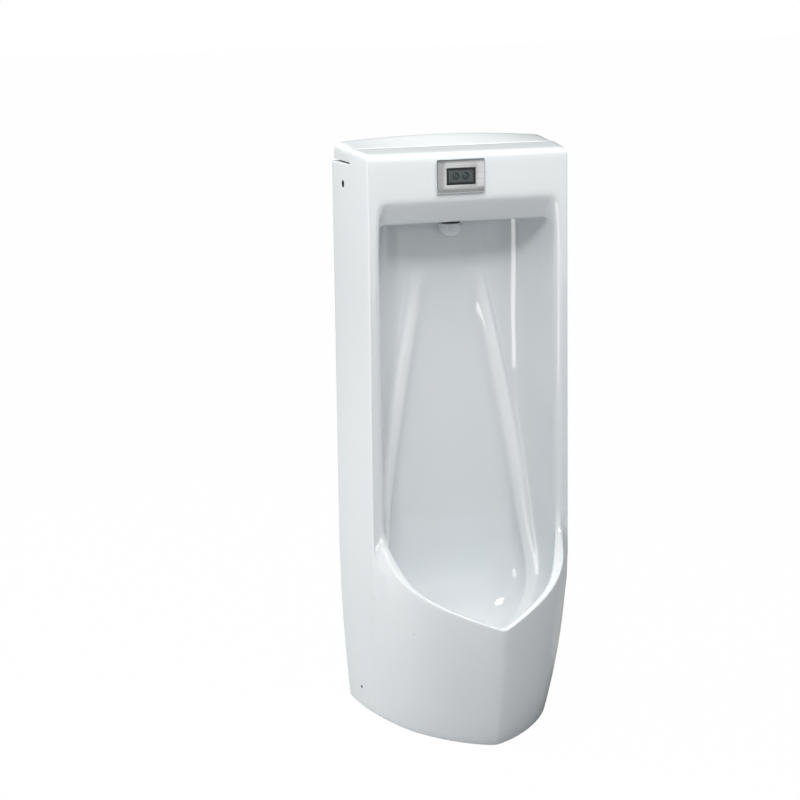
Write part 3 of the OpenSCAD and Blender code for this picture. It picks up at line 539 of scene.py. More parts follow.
def footed(shares):
    return [(share[0] * china["footWidth"] / 2, share[1] * china["footDepth"]) for share in shares]


# Outer outline in plan: t runs from 0 to 1 along the side, or from the corner to the tip
def sidePlan(t, z):
    plan = mix(bezier(footed(footSide), t), bezier(rimSide, t), ease(z))
    return plan.x * leanAt(z), plan.y


def prowPlan(t, z, rounded=True):
    plan = mix(bezier(footed(footProw), t), bezier(rimProw, t), ease(z))
    radius = mix(*china["keelRound"], min(1, z / tipZ) ** 2)
    slope = mix(*china["keelSlope"], ease(z))
    inset = slope * (math.hypot(plan.x, radius) - plan.x) if rounded else 0
    return plan.x * leanAt(z), plan.y - inset


postFoot = rimZ + china["rimRise"]
rimSlope = [(china["depth"], tipZ),
    (china["depth"] * 0.87, mix(tipZ, rimZ, 0.27)),
    (headerW + 0.008, mix(tipZ, rimZ, 0.8)), (headerW, postFoot)]


# Height of the rim at a distance from the wall
def slopeAt(w):
    low, high = 0.0, 1.0
    for _ in range(30):
        middle = (low + high) / 2
        if bezier(rimSlope, middle).x > w:
            low = middle
        else:
            high = middle
    return bezier(rimSlope, low).y


nicheHalf = halfFront - china["postWidth"]
innerNarrow = nicheHalf / halfFront
innerShort = (tipFull - china["rimThickness"] - headerW) / (tipFull - headerW)
ceilingZ = topZ - china["headerHeight"] - china["soffitHeight"]
soffitW = headerW - china["soffitDepth"]
bowlFull = tipZ + china["bowlTaper"]


def innerProwPlan(t, z, rounded=True):
    x, w = prowPlan(t, max(z, tipZ), rounded)
    return x * innerNarrow, headerW + (w - headerW) * innerShort


def rimPoint(plan, t):
    z = fullHeight
    for _ in range(6):
        z = slopeAt(plan(t, z, False)[1])
    return (*plan(t, z), z)


# A quarter circle's rise, steep at low and level at high
def quarterTurn(z, low, high):
    return math.sqrt(1 - (1 - min(1, (z - low) / (high - low))) ** 2)


# Plan of the niche, from the centre of its back round to the post, by distance along the wall
cornerX, cornerW = nicheHalf * 0.74, china["nicheBack"] + china["backBow"]
nicheWall = [(cornerX, cornerW), (nicheHalf * 0.9, china["nicheBack"] + 2.2 * china["backBow"]),
    (nicheHalf * 0.97, headerW * 0.62), (nicheHalf, headerW)]
nichePath = [Vector((cornerX * i / 20, mix(china["nicheBack"], cornerW, (i / 20) ** 3))) for i in range(20)]
nichePath += [bezier(nicheWall, i / 40) for i in range(41)]
nicheRun = [0.0]
for before, after in zip(nichePath, nichePath[1:]):
    nicheRun.append(nicheRun[-1] + (after - before).length)


def nichePlan(run):
    run = min(max(run, 0.0), nicheRun[-1])
    index = max(i for i in range(len(nicheRun) - 1) if nicheRun[i] <= run)
    share = (run - nicheRun[index]) / (nicheRun[index + 1] - nicheRun[index])
    along = nichePath[index + 1] - nichePath[index]
    return mix(nichePath[index], nichePath[index + 1], share), Vector((-along.y, along.x)).normalized()


# Columns of the niche: distance along the wall in half widths of the rib, and share of the rib's height
ribColumns = [(-1.75, 0.0), (-1.1, 0.28), (-0.52, 0.95), (0.0, 1.0), (0.52, 0.97), (0.8, 0.25), (1.1, 0.0)]
ribCrest = (2, 4)       # the first and last of these on the crest
middleColumns, outerColumns = 3, 5
soffitRun = nicheRun[-1] - china["soffitDepth"] * 1.01


# Distance of the rib's middle along the wall, and half its width
def ribPlace(z):
    run = max(rib["nearest"], rib["middle"] + (rib["middleHeight"] - z) * rib["spread"])
    below = max(0.0, rib["bend"] - z)
    half = mix(*rib["half"], shareOf(z, *rib["narrowing"])) + below * rib["bendWiden"]
    return min(run + below * rib["bendSpread"], soffitRun - rib["soffitGap"] - half * ribColumns[-1][0]), half


def ribHeight(z):
    return rib["rise"] * ramp(z, *rib["fadeLow"]) * ramp(z, *rib["fadeTop"])


# Share of painted highlight for a row's column: on a rib's crest it grows with the rib's height, off it none
def paintedHighlightShare(column, z):
    onCrest = ribCrest[0] <= column - middleColumns <= ribCrest[1]
    return (ribHeight(z) / rib["rise"]) ** 2 if onCrest else 0.0


def nicheColumns(z):
    run, half = ribPlace(z)
    first, last = run + half * ribColumns[0][0], run + half * ribColumns[-1][0]
    columns = [(first * i / middleColumns, 0.0) for i in range(middleColumns)]
    columns += [(run + half * side, height) for side, height in ribColumns]
    columns += [(mix(last, soffitRun, i / outerColumns), 0.0) for i in range(1, outerColumns + 1)]
    columns.append((nicheRun[-1], 0.0))
    return columns


nicheCount = len(nicheColumns(postFoot)) - 1
soffitColumn = nicheCount - 1
cornerColumn = nicheCount - 4


def nichePoint(column, z):
    run, height = nicheColumns(z)[column]
    plan, normal = nichePlan(run)
    plan = plan + normal * height * ribHeight(z)
    return plan.x, plan.y


# Rows of heights from the floor up, as shares of the rim's height and then in metres
footRows = [0, 0.05, 0.15, 0.28, 0.42, 0.57, 0.72, 0.86, 1.0]
postRows = [mix(postFoot, ceilingZ, i / 12) for i in range(13)]
soffitTop = ceilingZ + china["soffitHeight"]
outerRows = postRows[:-2] + [postRows[-2] + 0.008, soffitTop]
sideShares = [0, 0.26, lidW / headerW, 0.76, 1]
prowShares = [0, 0.10, 0.18, 0.27, 0.38, 0.51, 0.64, 0.76, 0.87, 0.945, 0.982, 1]
prowCount = len(prowShares) - 1
notchZ = china["notchHeight"]


def topAt(w):
    return topZ + china["topRise"] * (headerW - w) / (headerW - lidW)


# Corners along the rim's outer and inner edge
def rimCorners():
    outer = [rimPoint(prowPlan, t) for t in prowShares]
    outer[0] = (*sidePlan(1, postFoot), postFoot)
    outer[1] = (mix(nicheHalf, outer[0][0], china["postMiddle"]), headerW, postFoot)
    outer[2] = (outer[2][0] - china["rimPinch"], *outer[2][1:])
    inner = [rimPoint(innerProwPlan, t) for t in prowShares]
    inner = [(x, w, z - shareOf(column, 1, 4) * china["rimDrop"]) for column, (x, w, z) in enumerate(inner)]
    inner[1] = (nicheHalf, headerW, postFoot)
    return outer, inner


outerRim, innerRim = rimCorners()


def addSides(bm):
    rows = [share * postFoot for share in footRows] + outerRows[1:] + [notchZ]

    def sideAt(column, row):
        x, w = sidePlan(sideShares[column], rows[row])
        return at(x, sideShares[column] * headerW if row >= len(footRows) - 1 else w, rows[row])
    patch(bm, len(sideShares) - 1, len(rows) - 1, sideAt)

    def besideTopAt(column, row):
        share = sideShares[column + 2]
        x = sidePlan(share, topZ if row else notchZ)[0]
        return at(x, share * headerW, topAt(share * headerW) if row else notchZ)
    patch(bm, 2, 1, besideTopAt)


def addProw(bm):
    def prowAt(column, row):
        if row == len(footRows) - 1:
            return at(*outerRim[column])
        z = footRows[row] * outerRim[column][2]
        return at(*(prowPlan(prowShares[column], z) if column else sidePlan(1, z)), z)
    patch(bm, prowCount, len(footRows) - 1, prowAt)
    patch(bm, prowCount - 1, 1, lambda column, row: at(*(innerRim if row else outerRim)[column + 1]))


def addPost(bm):
    def postAt(column, row):
        z = outerRows[row]
        return at(mix(nicheHalf, sidePlan(1, z)[0], (0, china["postMiddle"], 1)[column]), headerW, z)
    patch(bm, 2, len(outerRows) - 1, postAt)


# Header, top, the step down to the ledge, and the ledge
def addTop(bm):
    def across(column, z, share=1):
        if column <= cornerColumn:
            return nicheHalf * column / cornerColumn
        beside = china["postMiddle"] if column == cornerColumn + 1 else 1
        return mix(nicheHalf, sidePlan(share, z)[0], beside)

    def headerAt(column, row):
        z = (soffitTop, notchZ, topZ)[row]
        return at(across(column, z), headerW, z)

    def topPointAt(column, row):
        share = sideShares[4 - row]
        return at(across(column, topZ, share), share * headerW, topAt(share * headerW))

    def stepAt(column, row):
        z = notchZ if row else topZ
        return at(across(column, z, sideShares[2]), lidW, z if row else topAt(lidW))

    def ledgeAt(column, row):
        share = sideShares[2 - row]
        return at(across(column, notchZ, share), share * headerW, notchZ)
    for rows, pointAt in ((2, headerAt), (2, topPointAt), (1, stepAt), (2, ledgeAt)):
        patch(bm, cornerColumn + 2, rows, pointAt)


def addCeiling(bm):
    soffitX = nichePoint(soffitColumn, ceilingZ)[0]
    sideColumns = soffitColumn - cornerColumn

    def soffitAt(column, row):
        x = (soffitX if row else nicheHalf) * column / cornerColumn
        return at(x, soffitW if row else headerW, ceilingZ if row else soffitTop)
    patch(bm, cornerColumn, 1, soffitAt)

    # Blended from its front, side, back and centre line
    def ceilingAt(column, row):
        share, depth = column / cornerColumn, row / sideColumns
        frontMiddle, frontEnd = Vector((0, soffitW)), Vector((soffitX, soffitW))
        backMiddle, backEnd = Vector((0, china["nicheBack"])), Vector(nichePoint(cornerColumn, ceilingZ))
        back = Vector(nichePoint(column, ceilingZ))
        side = Vector(nichePoint(soffitColumn - row, ceilingZ))
        plan = mix(mix(frontMiddle, frontEnd, share), back, depth)
        plan += mix(mix(frontMiddle, backMiddle, depth), side, share)
        plan -= mix(mix(frontMiddle, frontEnd, share), mix(backMiddle, backEnd, share), depth)
        return at(plan.x, plan.y, ceilingZ)
    patch(bm, cornerColumn, sideColumns, ceilingAt)


def addNiche(bm, crestHighlight):
    def nicheAt(column, row):
        z = outerRows[row] if column == nicheCount else postRows[row]
        x, w = nichePoint(column, min(z, ceilingZ))
        if column == soffitColumn and row == len(postRows) - 1:
            w = soffitW
        return at(x, w, z)
    patch(bm, nicheCount, len(postRows) - 1, nicheAt, crestHighlight,
        lambda column, row: paintedHighlightShare(column, postRows[row]))


# The bowl closes in on the sump, whose floor has two more rows
def addBowl(bm, crestHighlight):
    rises = [1 - math.cos(math.radians(angle)) for angle in range(90, -1, -10)]
    centre = Vector((0, drainW))
    low = china["drainHeight"]
    floorShares = (0.7, 0.42)

    # Painted highlight on the rib crests in the bowl, fading in above the drain
    def bowlPaintedHighlight(column, row):
        if row >= len(rises):
            return 0.0
        z = low + (postFoot - low) * rises[row]
        return paintedHighlightShare(column, z) * ramp(z, *[low + over for over in rib["highlightFade"]])

    def bowlAt(column, row):
        beyond = column - nicheCount
        beyond += beyond > 0
        top = innerRim[beyond][2] if beyond > 0 else postFoot
        onFloor = row >= len(rises)
        z = low if onFloor else low + (top - low) * rises[row]
        grown = 0 if onFloor else quarterTurn(z, low, min(bowlFull, top))
        radius = china["sumpRadius"] * (floorShares[row - len(rises)] if onFloor else 1)
        if beyond > 0:
            edge = innerRim[beyond][:2]
            plan = Vector(edge if row == 0 else innerProwPlan(prowShares[beyond], z))
        else:
            edge = nichePoint(column, postFoot)
            plan = Vector(nichePoint(column, max(z, low + china["sumpRise"])))
        return at(*mix(centre + (Vector(edge) - centre).normalized() * radius, plan, grown), z)
    patch(bm, nicheCount + prowCount - 1, len(rises) + len(floorShares) - 1, bowlAt, crestHighlight, bowlPaintedHighlight)


def makeBodyCage():
    bm = bmesh.new()
    # Per-corner share of the painted highlight on the rib crests
    crestHighlight = bm.verts.layers.float.new("crestHighlight")
    addSides(bm)
    addProw(bm)
    addPost(bm)
    addTop(bm)
    addCeiling(bm)
    addNiche(bm, crestHighlight)
    addBowl(bm, crestHighlight)
    bmesh.ops.remove_doubles(bm, verts=bm.verts, dist=joinWithin)
    mirrorHalf(bm)
    for side in (-1, 1):
        corner = at(side * nicheHalf, headerW, soffitTop)
        vert = min(bm.verts, key=lambda vert: (vert.co - corner).length)
        vert.co += Vector((-side * china["cornerCut"], 0, -china["cornerCut"]))
    closeHoles(bm, 0)
    faceOutward(bm)
    return bm


# Radius of the rounding of an edge, by where it lies
def edgeRadius(middle, direction):
    x, w, z = abs(middle.x), wallY - middle.y, middle.z
    near, flush = 0.001, 0.0005
    onFront = abs(w - headerW) < flush
    if z < near:
        return china["footRound"]
    if w < near or (w < lidW + near and z > notchZ - near):
        return china["ledgeRound"]
    if z > topZ - near:
        return china["topRound"] if onFront else china["topSideRound"]
    if onFront and x > mix(nicheHalf, halfFront, 0.6):
        steps = [(postFoot - near, china["cornerRound"]), *china["cornerFade"]]
        return next((radius for low, radius in steps if z > low), 0)
    if onFront and z > soffitTop - near:
        return china["headerRound"]
    if onFront and z > postFoot - near and x < nicheHalf + 2 * near:
        return china["postRound"]
    if z > ceilingZ - near:
        onSoffit = abs(w - soffitW) < flush and abs(direction.x) > 0.5
        return china["soffitRound"] if onSoffit else china["ceilingRound"]
    # The rim, whose inner edge lies lower than the slope of its outer one
    if w > headerW + 4 * near and z > tipZ - 20 * near and abs(direction.z) < 0.9:
        sunk = slopeAt(min(w, china["depth"])) - z
        return china["rimInner"] if sunk > 3.5 * near else china["rimRound"]
    return 0


def makeBody():
    bm = makeBodyCage()
    print("body cage:", len(bm.faces), "faces, open edges:", sum(e.is_boundary for e in bm.edges))
    obj = roundedPiece(bm, "china_body", [glazedChina, unglazedChina], edgeRadius, 18, 0.010, 2)
    modify(obj, "SUBSURF", levels=2, render_levels=2)
    bake(obj)
    return obj


sideFixings = {"high": (0.050, 0.841), "low": (0.057, 0.036)}     # w and z of the screws in each side
sensorMiddle = (-0.014, 0.856)          # x and z
hollow = {
    "half": 0.150,
    # Depths from the wall and heights; those that start below 0 run out through the back
    "service": (-0.01, 0.118, 0.797, 0.878),
    "upper": (0.05, 0.142, 0.832, 0.878),
    "rear": (-0.01, 0.026, 0.122, 0.773),
    "round": 0.006,
    "footRows": (-0.002, 0.03, 0.06, 0.09, 0.12, 0.15, 0.172, 0.182),
    "footInset": (0.013, 0.014),
    "footDraw": 0.006,                  # its top is this much narrower
    "bowlTop": 0.202,
    "behindBowl": 0.024,                # the bowl's wall keeps this far from the building's wall
    "bowlSquare": 5,                    # how square its back corners are
    "sideHoles": {"high": 0.0055, "low": 0.0026},     # radii
    # Of the spreader and the drain: w, z, radius, length and segments
    "uprightHoles": ((0.057, 0.79, 0.00815, 0.03, 32), (drainW, 0.114, 0.022, 0.02, 48)),
    "sensor": (0.0606, 0.0386, 0.003),  # width, height and corners
    "sensorDepth": (0.16, 0.125),
}
axisTurns = {"z": (0, 0, 0), "x": (0, 90, 0), "-x": (0, -90, 0), "out": (90, 0, 0)}     # degrees


# A block between two corners written as x, w and z, with its edges rounded
def block(bm, low, high, rounding=0.0, segments=3, edges=None):
    made = bmesh.ops.create_cube(bm, size=1.0)["verts"]
    first, second = at(*low), at(*high)
    size = second - first
    for vert in made:
        vert.co = Vector([first[i] + (vert.co[i] + 0.5) * size[i] for i in range(3)])
    bmesh.ops.recalc_face_normals(bm, faces=list({face for vert in made for face in vert.link_faces}))
    if rounding:
        chosen = {edge for vert in made for edge in vert.link_edges if edges is None or edges(edge)}
        bmesh.ops.bevel(bm, geom=list(chosen), offset=rounding, offset_type="OFFSET", segments=segments,
            profile=0.5, affect="EDGES", material=-1)


def stood(middle, axis):
    turn = Euler([math.radians(angle) for angle in axisTurns[axis]])
    return Matrix.Translation(at(*middle)) @ turn.to_matrix().to_4x4()


def rod(bm, middle, radius, length, axis, segments=32):
    bmesh.ops.create_cone(bm, cap_ends=True, segments=segments, radius1=radius, radius2=radius, depth=length,
        matrix=stood(middle, axis))


def cutter(bm, material=unglazedChina):
    faceOutward(bm)
    return meshObject(bm, "cutter", [material])


def roomCutter(nearest, farthest, low, high):
    bm = bmesh.new()
    block(bm, (-hollow["half"], nearest, low), (hollow["half"], farthest, high), hollow["round"])
    return cutter(bm)


# The hollow under the bowl follows the outer form, a wall's thickness in
def footCutter():
    bm = bmesh.new()
    insetX, insetW = hollow["footInset"]
    heights = hollow["footRows"]
    sideColumns, prowColumns = 4, 10

    def outlineAt(column, row):
        z = max(heights[row], 0)
        draw = hollow["footDraw"] if row == len(heights) - 1 else 0
        widest, tip = sidePlan(0, z)[0], prowPlan(1, z)[1]
        beyond = (column - sideColumns) / prowColumns
        x, w = prowPlan(beyond, z) if beyond > 0 else sidePlan(column / sideColumns, z)
        w = max(w, 0) * (tip - insetW - draw) / tip
        return at(x * (widest - insetX - draw) / widest, w, heights[row])
    patch(bm, sideColumns + prowColumns, len(heights) - 1, outlineAt)
    mirrorHalf(bm)
    closeHoles(bm, heights[0], heights[-1])
    return cutter(bm)


# The bowl's outer form, round in front and squarer behind
def bowlCutter():
    bm = bmesh.new()
    wall, centre, power = china["wall"], drainW, hollow["bowlSquare"]
    low, high = china["drainHeight"] - wall, hollow["bowlTop"]
    rises = [1 - math.cos(math.radians(angle)) for angle in range(90, -1, -15)]
    columns = 20

    def grownAt(column, row):
        angle = math.pi * column / columns
        direction = Vector((math.sin(angle), -math.cos(angle)))
        z = low + (high - low) * rises[row]
        sides = abs(direction.x) / (nicheHalf + wall), abs(direction.y) / (centre - hollow["behindBowl"])
        reach = (sides[0] ** power + sides[1] ** power) ** (-1 / power)
        if direction.y > 0:
            reach = mix(nicheHalf + wall, tipFull - china["rimThickness"] - centre + wall, direction.y)
        reach = mix(china["sumpRadius"] + wall, reach, quarterTurn(z, low, bowlFull))
        return at(direction.x * reach, centre + direction.y * reach, z)
    patch(bm, columns, len(rises) - 1, grownAt)
    mirrorHalf(bm)
    closeHoles(bm)
    return cutter(bm)


# The side holes' walls take the black plastic finish, as painted shade for the dark inside of the holes
def sideHoles():
    bm = bmesh.new()
    for name, radius in hollow["sideHoles"].items():
        rod(bm, (0, *sideFixings[name]), radius, 0.4, "x")
    return cutter(bm, finish["black_plastic"])


def otherHoles():
    bm = bmesh.new()
    for w, z, radius, length, segments in hollow["uprightHoles"]:
        rod(bm, (0, w, z), radius, length, "z", segments)
    x, z = sensorMiddle
    width, height, corner = hollow["sensor"]
    front, back = hollow["sensorDepth"]
    block(bm, (x - width / 2, front, z - height / 2), (x + width / 2, back, z + height / 2), corner, 2,
        lambda edge: abs(edge.verts[0].co.y - edge.verts[1].co.y) > (front - back) / 2)
    return cutter(bm)


def hollowBody(obj):
    cut(obj, roomCutter(*hollow["service"]))
    cut(obj, roomCutter(*hollow["upper"]))
    foot = footCutter()
    cut(foot, bowlCutter())
    cut(obj, foot)
    cut(obj, roomCutter(*hollow["rear"]))
    cut(obj, sideHoles())
    cut(obj, otherHoles())


body = makeBody()
hollowBody(body)
finished(body, "body")


# ---- Pieces that replace CAD nodes ----
lid = {
    "half": 0.1665,
    "narrower": 0.0040,         # at its front
    "depth": 0.0794,
    "low": 0.875,
    "top": 0.895,
    "rise": 0.005,
    "crown": 0.008,
    "thickness": 0.008,
    "sideRound": 0.0090,
    "frontRound": 0.0010,
    "cornerRound": 0.0015,
}


def makeLid():
    bm = bmesh.new()
    columns, rows = 12, 3

    def roofAt(column, row):
        u, v = 2 * column / columns - 1, row / rows
        z = lid["top"] + (lid["rise"] + lid["crown"] * (1 - u * u)) * (1 - v)
        return at(u * (lid["half"] - lid["narrower"] * v), lid["depth"] * v, z)
    patch(bm, columns, rows, roofAt)
    walls = bmesh.ops.extrude_edge_only(bm, edges=[edge for edge in bm.edges if edge.is_boundary])["geom"]
    for vert in [item for item in walls if isinstance(item, bmesh.types.BMVert)]:
        vert.co.z = lid["low"]
    bmesh.ops.recalc_face_normals(bm, faces=bm.faces)

    def radiusAt(middle, direction):
        if abs(direction.z) > 0.5:
            return lid["cornerRound"]
        return lid["frontRound"] if wallY - middle.y > lid["depth"] - 0.001 else lid["sideRound"]
    obj = roundedPiece(bm, "lid_piece", [glazedChina, unglazedChina], radiusAt, 40, 0.010, 3)
    modify(obj, "SUBSURF", levels=2, render_levels=2)
    modify(obj, "SOLIDIFY", thickness=lid["thickness"], offset=-1, material_offset=1)
    bake(obj)
    finished(obj, "lid", "lid", 50)


# A form turned round an axis through middle, from its profile of radius and height, both in millimetres
def turned(bm, profile, middle, axis, steps, closed=False):
    old = set(bm.verts)
    ring = [bm.verts.new((radius / 1000, 0, height / 1000)) for radius, height in profile]
    sides = [bm.edges.new(pair) for pair in zip(ring, ring[1:] + ring[:1] if closed else ring[1:])]
    bmesh.ops.spin(bm, geom=ring + sides, cent=(0, 0, 0), axis=(0, 0, 1), angle=2 * math.pi, steps=steps,
        use_merge=True)
    made = [vert for vert in bm.verts if vert not in old]
    bmesh.ops.remove_doubles(bm, verts=made, dist=0.000001)
    bmesh.ops.transform(bm, matrix=stood(middle, axis), verts=[vert for vert in bm.verts if vert not in old])


def turnedPiece(name, materials, profile, middle, steps=64, closed=False):
    bm = bmesh.new()
    turned(bm, profile, middle, "z", steps, closed)
    faceOutward(bm)
    return meshObject(bm, name, materials)


# The second material, on the faces whose middle is chosen
def paint(obj, chosen):
    for face in obj.data.polygons:
        face.material_index = 1 if chosen(face.center) else 0


sensor = {
    "plate": (0.037, 0.025),         # half sizes
    "window": (0.022, 0.012),
    "gap": 0.00015,
    "front": 0.159,                  # distances from the wall
    "windowFront": 0.158,
    "back": 0.155,
    "outerRound": 0.0016,
    "innerRound": 0.0006,
    "windowRound": 0.0008,
    "steps": ((0.0019, 0), (0.0006, -0.0005)),       # width and sinking of its border and of the slope inside
    "lensGap": 0.0075,
    "lensBack": 0.1565,
    "lensHole": (0.00515, 0.003),    # radius and length
    # Radius and height in millimetres
    "lensRing": [(0, 0), (5.0, 0), (5.0, 1.25), (4.8, 1.5), (4.3, 1.5), (4.1, 1.25)],
    "lensDome": (4.05, 1.2, 1.1),    # radius, foot and rise
    "ringInner": 0.0041,
}
lensMiddles = [sensorMiddle[0] + side * sensor["lensGap"] for side in (-1, 1)]


def makePlate():
    bm = bmesh.new()
    x, z = sensorMiddle
    half, opening = sensor["plate"], [side + sensor["gap"] for side in sensor["window"]]
    across, up = (-half[0], -opening[0], opening[0], half[0]), (-half[1], -opening[1], opening[1], half[1])
    patch(bm, 3, 3, lambda column, row: at(x + across[column], sensor["front"], z + up[row]))
    centre = min(bm.faces, key=lambda face: (face.calc_center_median() - at(x, sensor["front"], z)).length)
    bmesh.ops.delete(bm, geom=[centre], context="FACES_ONLY")
    made = bmesh.ops.extrude_face_region(bm, geom=bm.faces[:])["geom"]
    for vert in [item for item in made if isinstance(item, bmesh.types.BMVert)]:
        vert.co.y = wallY - sensor["back"]
    faceOutward(bm)

    def radiusAt(middle, direction):
        outside = max(abs(middle.x - x) - half[0], abs(middle.z - z) - half[1]) > -0.0005
        front = middle.y < wallY - sensor["back"] - 0.0005
        return (sensor["outerRound"] if outside else sensor["innerRound"]) if front else 0
    obj = roundedPiece(bm, "sensor_frame", [finish["plate"]], radiusAt, 40, 0.002, 3)
    bake(obj)
    finished(obj, "sensor_plate", degrees=20)


def makeWindow():
    bm = bmesh.new()
    x, z = sensorMiddle
    half, nearest, farthest = sensor["window"], sensor["back"], sensor["windowFront"]
    block(bm, (x - half[0], farthest, z - half[1]), (x + half[0], nearest, z + half[1]), sensor["windowRound"],
        2, lambda edge: min(vert.co.y for vert in edge.verts) < wallY - nearest - 0.001)
    front = min(bm.faces, key=lambda face: face.calc_center_median().y)
    for width, sink in sensor["steps"]:
        bmesh.ops.inset_region(bm, faces=[front], thickness=width, depth=sink, use_even_offset=True)
    front.material_index = 1
    obj = meshObject(bm, "sensor_glass", [finish["black_plastic"], finish["window"]])
    for lensX in lensMiddles:
        hole = bmesh.new()
        rod(hole, (lensX, farthest, z), *sensor["lensHole"], "out", 48)
        cut(obj, cutter(hole, finish["black_plastic"]))
    finished(obj, "sensor_window")


def makeLenses():
    bm = bmesh.new()
    radius, foot, rise = sensor["lensDome"]
    angles = [math.pi / 16 * i for i in range(8)]
    dome = [(radius * math.cos(angle), foot + rise * math.sin(angle)) for angle in angles]
    for lensX in lensMiddles:
        middle = (lensX, sensor["lensBack"], sensorMiddle[1])
        turned(bm, [*sensor["lensRing"], *dome, (0, foot + rise)], middle, "out", 48)
    faceOutward(bm)
    obj = meshObject(bm, "sensor_eyes", [finish["lens"], finish["black_plastic"]])
    paint(obj, lambda place: min(math.hypot(place.x - lensX, place.z - sensorMiddle[1])
        for lensX in lensMiddles) > sensor["ringInner"])
    finished(obj, "sensor_lenses", degrees=30)


spreader = {
    "middle": (0, 0.057, 0),
    # Radius and height, from the bottom of the dome out, up the neck and down its bore
    "dome": [(0, 753.2), (5.2, 753.6), (10.2, 755.2), (14.2, 758.2), (16.8, 762.6), (17.9, 767.4), (18, 771.5),
        (17.7, 773.6), (16.7, 774.5), (15, 774.5)],
    "neck": [(15, 783), (17.6, 783), (18, 783.4), (18, 785), (8, 785), (8, 811), (5.5, 811), (5.5, 778.5),
        (0, 778.5)],
    "dark": (0.7750, 0.7828, 0.012),        # heights of the inner face painted black as painted shade in the slot, and its least radius
}


def makeSpreader():
    materials = [glazedChina, finish["black_plastic"]]
    obj = turnedPiece("spreader_hood", materials, spreader["dome"] + spreader["neck"], spreader["middle"])
    low, high, nearest = spreader["dark"]
    out = spreader["middle"][1]
    # The neck inside the slot is painted with black plastic as painted shade
    paint(obj, lambda place: low < place.z < high and math.hypot(place.x, place.y - wallY + out) > nearest)
    finished(obj, "spreader")


drain = {
    "middle": (0, drainW, 0),
    # Profiles of radius and height in millimetres
    "flange": [(18, 84), (20.4, 84), (21, 84.8)],
    "threads": (20.2, 21, 86.0, 104.0, 0.75),       # radii, lowest and highest, and height of a slope
    "lip": [(21, 120), (33.6, 120), (34, 120.4), (34, 122.8), (33.7, 123.6), (32.8, 124), (30.1, 124),
        (29.4, 123.6), (29.3, 123), (29.3, 122), (18.6, 122), (18, 121.4)],
    "strainer": [(0, 122.1), (28.4, 122.1), (29, 122.7), (29, 123.6), (28.3, 124.4), (14, 124.7), (8.2, 124.8),
        (7.3, 125.2), (7, 126), (7, 127.1), (6.5, 127.8), (5.4, 128.1), (2.4, 127.8), (0, 127.5)],
    "rings": ((0.01305, 6), (0.02204, 12)),         # radius and number of holes
    "holes": (0.124, 0.0026, 0.012),                # height, radius and length
    "round": 0.0003,
}


def makeDrain():
    inner, outer, low, high, slope = drain["threads"]
    ridges = [(inner if i % 2 else outer, low + slope * i) for i in range(round((high - low) / slope) + 1)]
    profile = drain["flange"] + ridges + drain["lip"]
    obj = turnedPiece("drain_ring", [finish["chrome"]], profile, drain["middle"], 96, True)
    finished(obj, "drain_flange")


def makeStrainer():
    obj = turnedPiece("strainer_disc", [finish["chrome"]], drain["strainer"], drain["middle"], 96)
    holes = bmesh.new()
    z, radius, length = drain["holes"]
    for reach, count in drain["rings"]:
        for angle in [2 * math.pi * i / count for i in range(count)]:
            middle = (reach * math.cos(angle), drainW - reach * math.sin(angle), z)
            rod(holes, middle, radius, length, "z", 24)
    cut(obj, cutter(holes, finish["chrome"]))
    modify(obj, "BEVEL", limit_method="ANGLE", angle_limit=math.radians(40), width=drain["round"], segments=2)
    bake(obj)
    finished(obj, "strainer", "strainer")


screws = {
    # Radii in millimetres, and distances in from the screw's outer end
    "high": [(2.0, 3), (5.0, 3), (5.2, 2.6), (5.2, 0.8), (4.6, 0)],
    "low": [(1.4, 0.4), (1.0, 0)],
    "point": (0.5, 0.8),            # how much narrower the inner end is, and over what length
    "socket": (0.0022, 0.003),
    "within": 0.006,                # corners of the CAD's screw lie this near its height
}


def makeScrews():
    nodeMesh = frame["nodes"]["side_screws"].data
    bm = bmesh.new()
    for name, (w, z) in sideFixings.items():
        ends = [abs(vert.co.x) for vert in nodeMesh.vertices if abs(vert.co.z - z) < screws["within"]]
        nearest, farthest = min(ends) * 1000, max(ends) * 1000
        shaft, (narrower, length) = screws[name][0][0], screws["point"]
        outline = [(0, nearest), (shaft - narrower, nearest), (shaft, nearest + length)]
        outline += [(radius, farthest - inward) for radius, inward in screws[name]] + [(0, farthest)]
        for axis in ("x", "-x"):
            turned(bm, outline, (0, w, z), axis, 32)
    faceOutward(bm)
    obj = meshObject(bm, "side_bolts", [finish["steel"]])
    socket = bmesh.new()
    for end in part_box("side_screws"):
        rod(socket, (end.x, *sideFixings["high"]), *screws["socket"], "x", 6)
    cut(obj, cutter(socket, finish["steel"]))
    finished(obj, "side_screws")


makeLid()
makePlate()
makeWindow()
makeLenses()
makeSpreader()
makeDrain()
makeStrainer()
makeScrews()


# ---- Finishes of the CAD pieces that stay ----
slotOf = {row["node"]: row["material_slot"] for row in frame["record"]["subparts"]}
staying = [name for name in frame["nodes"] if name not in replaced]
for name in staying:
    for placed in frame["nodes"][name].material_slots:
        placed.material = finish[slotOf[name]]
print("finishes given to", len(staying), "carried pieces")

# The plunger's spring gets a mesh of its own
spring = frame["nodes"]["plunger_spring"]
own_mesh(spring)


# ---- Stage ----
studio = {
    "floorSize": 60.0,
    "floorColour": (0.49, 0.50, 0.51, 1.0),
    "floorShown": 0.99,             # how much of the floor the camera sees as plain white
    "world": 0.165,
    "lampColour": (1.0, 0.985, 0.965),
    "worldColour": (0.90, 0.96, 1.0, 1.0),
}


# Plain white of some kind in place of a shader, as far as a mask says
def whitened(tree, shader, kind, mask, output):
    white = node(tree, kind, {"Color": (1, 1, 1, 1), "Strength": 1.0})
    blend = node(tree, "ShaderNodeMixShader")
    wire(tree, (mask, 0, blend, 0), (shader, 0, blend, 1), (white, 0, blend, 2),
        (blend, 0, tree.nodes[output], "Surface"))


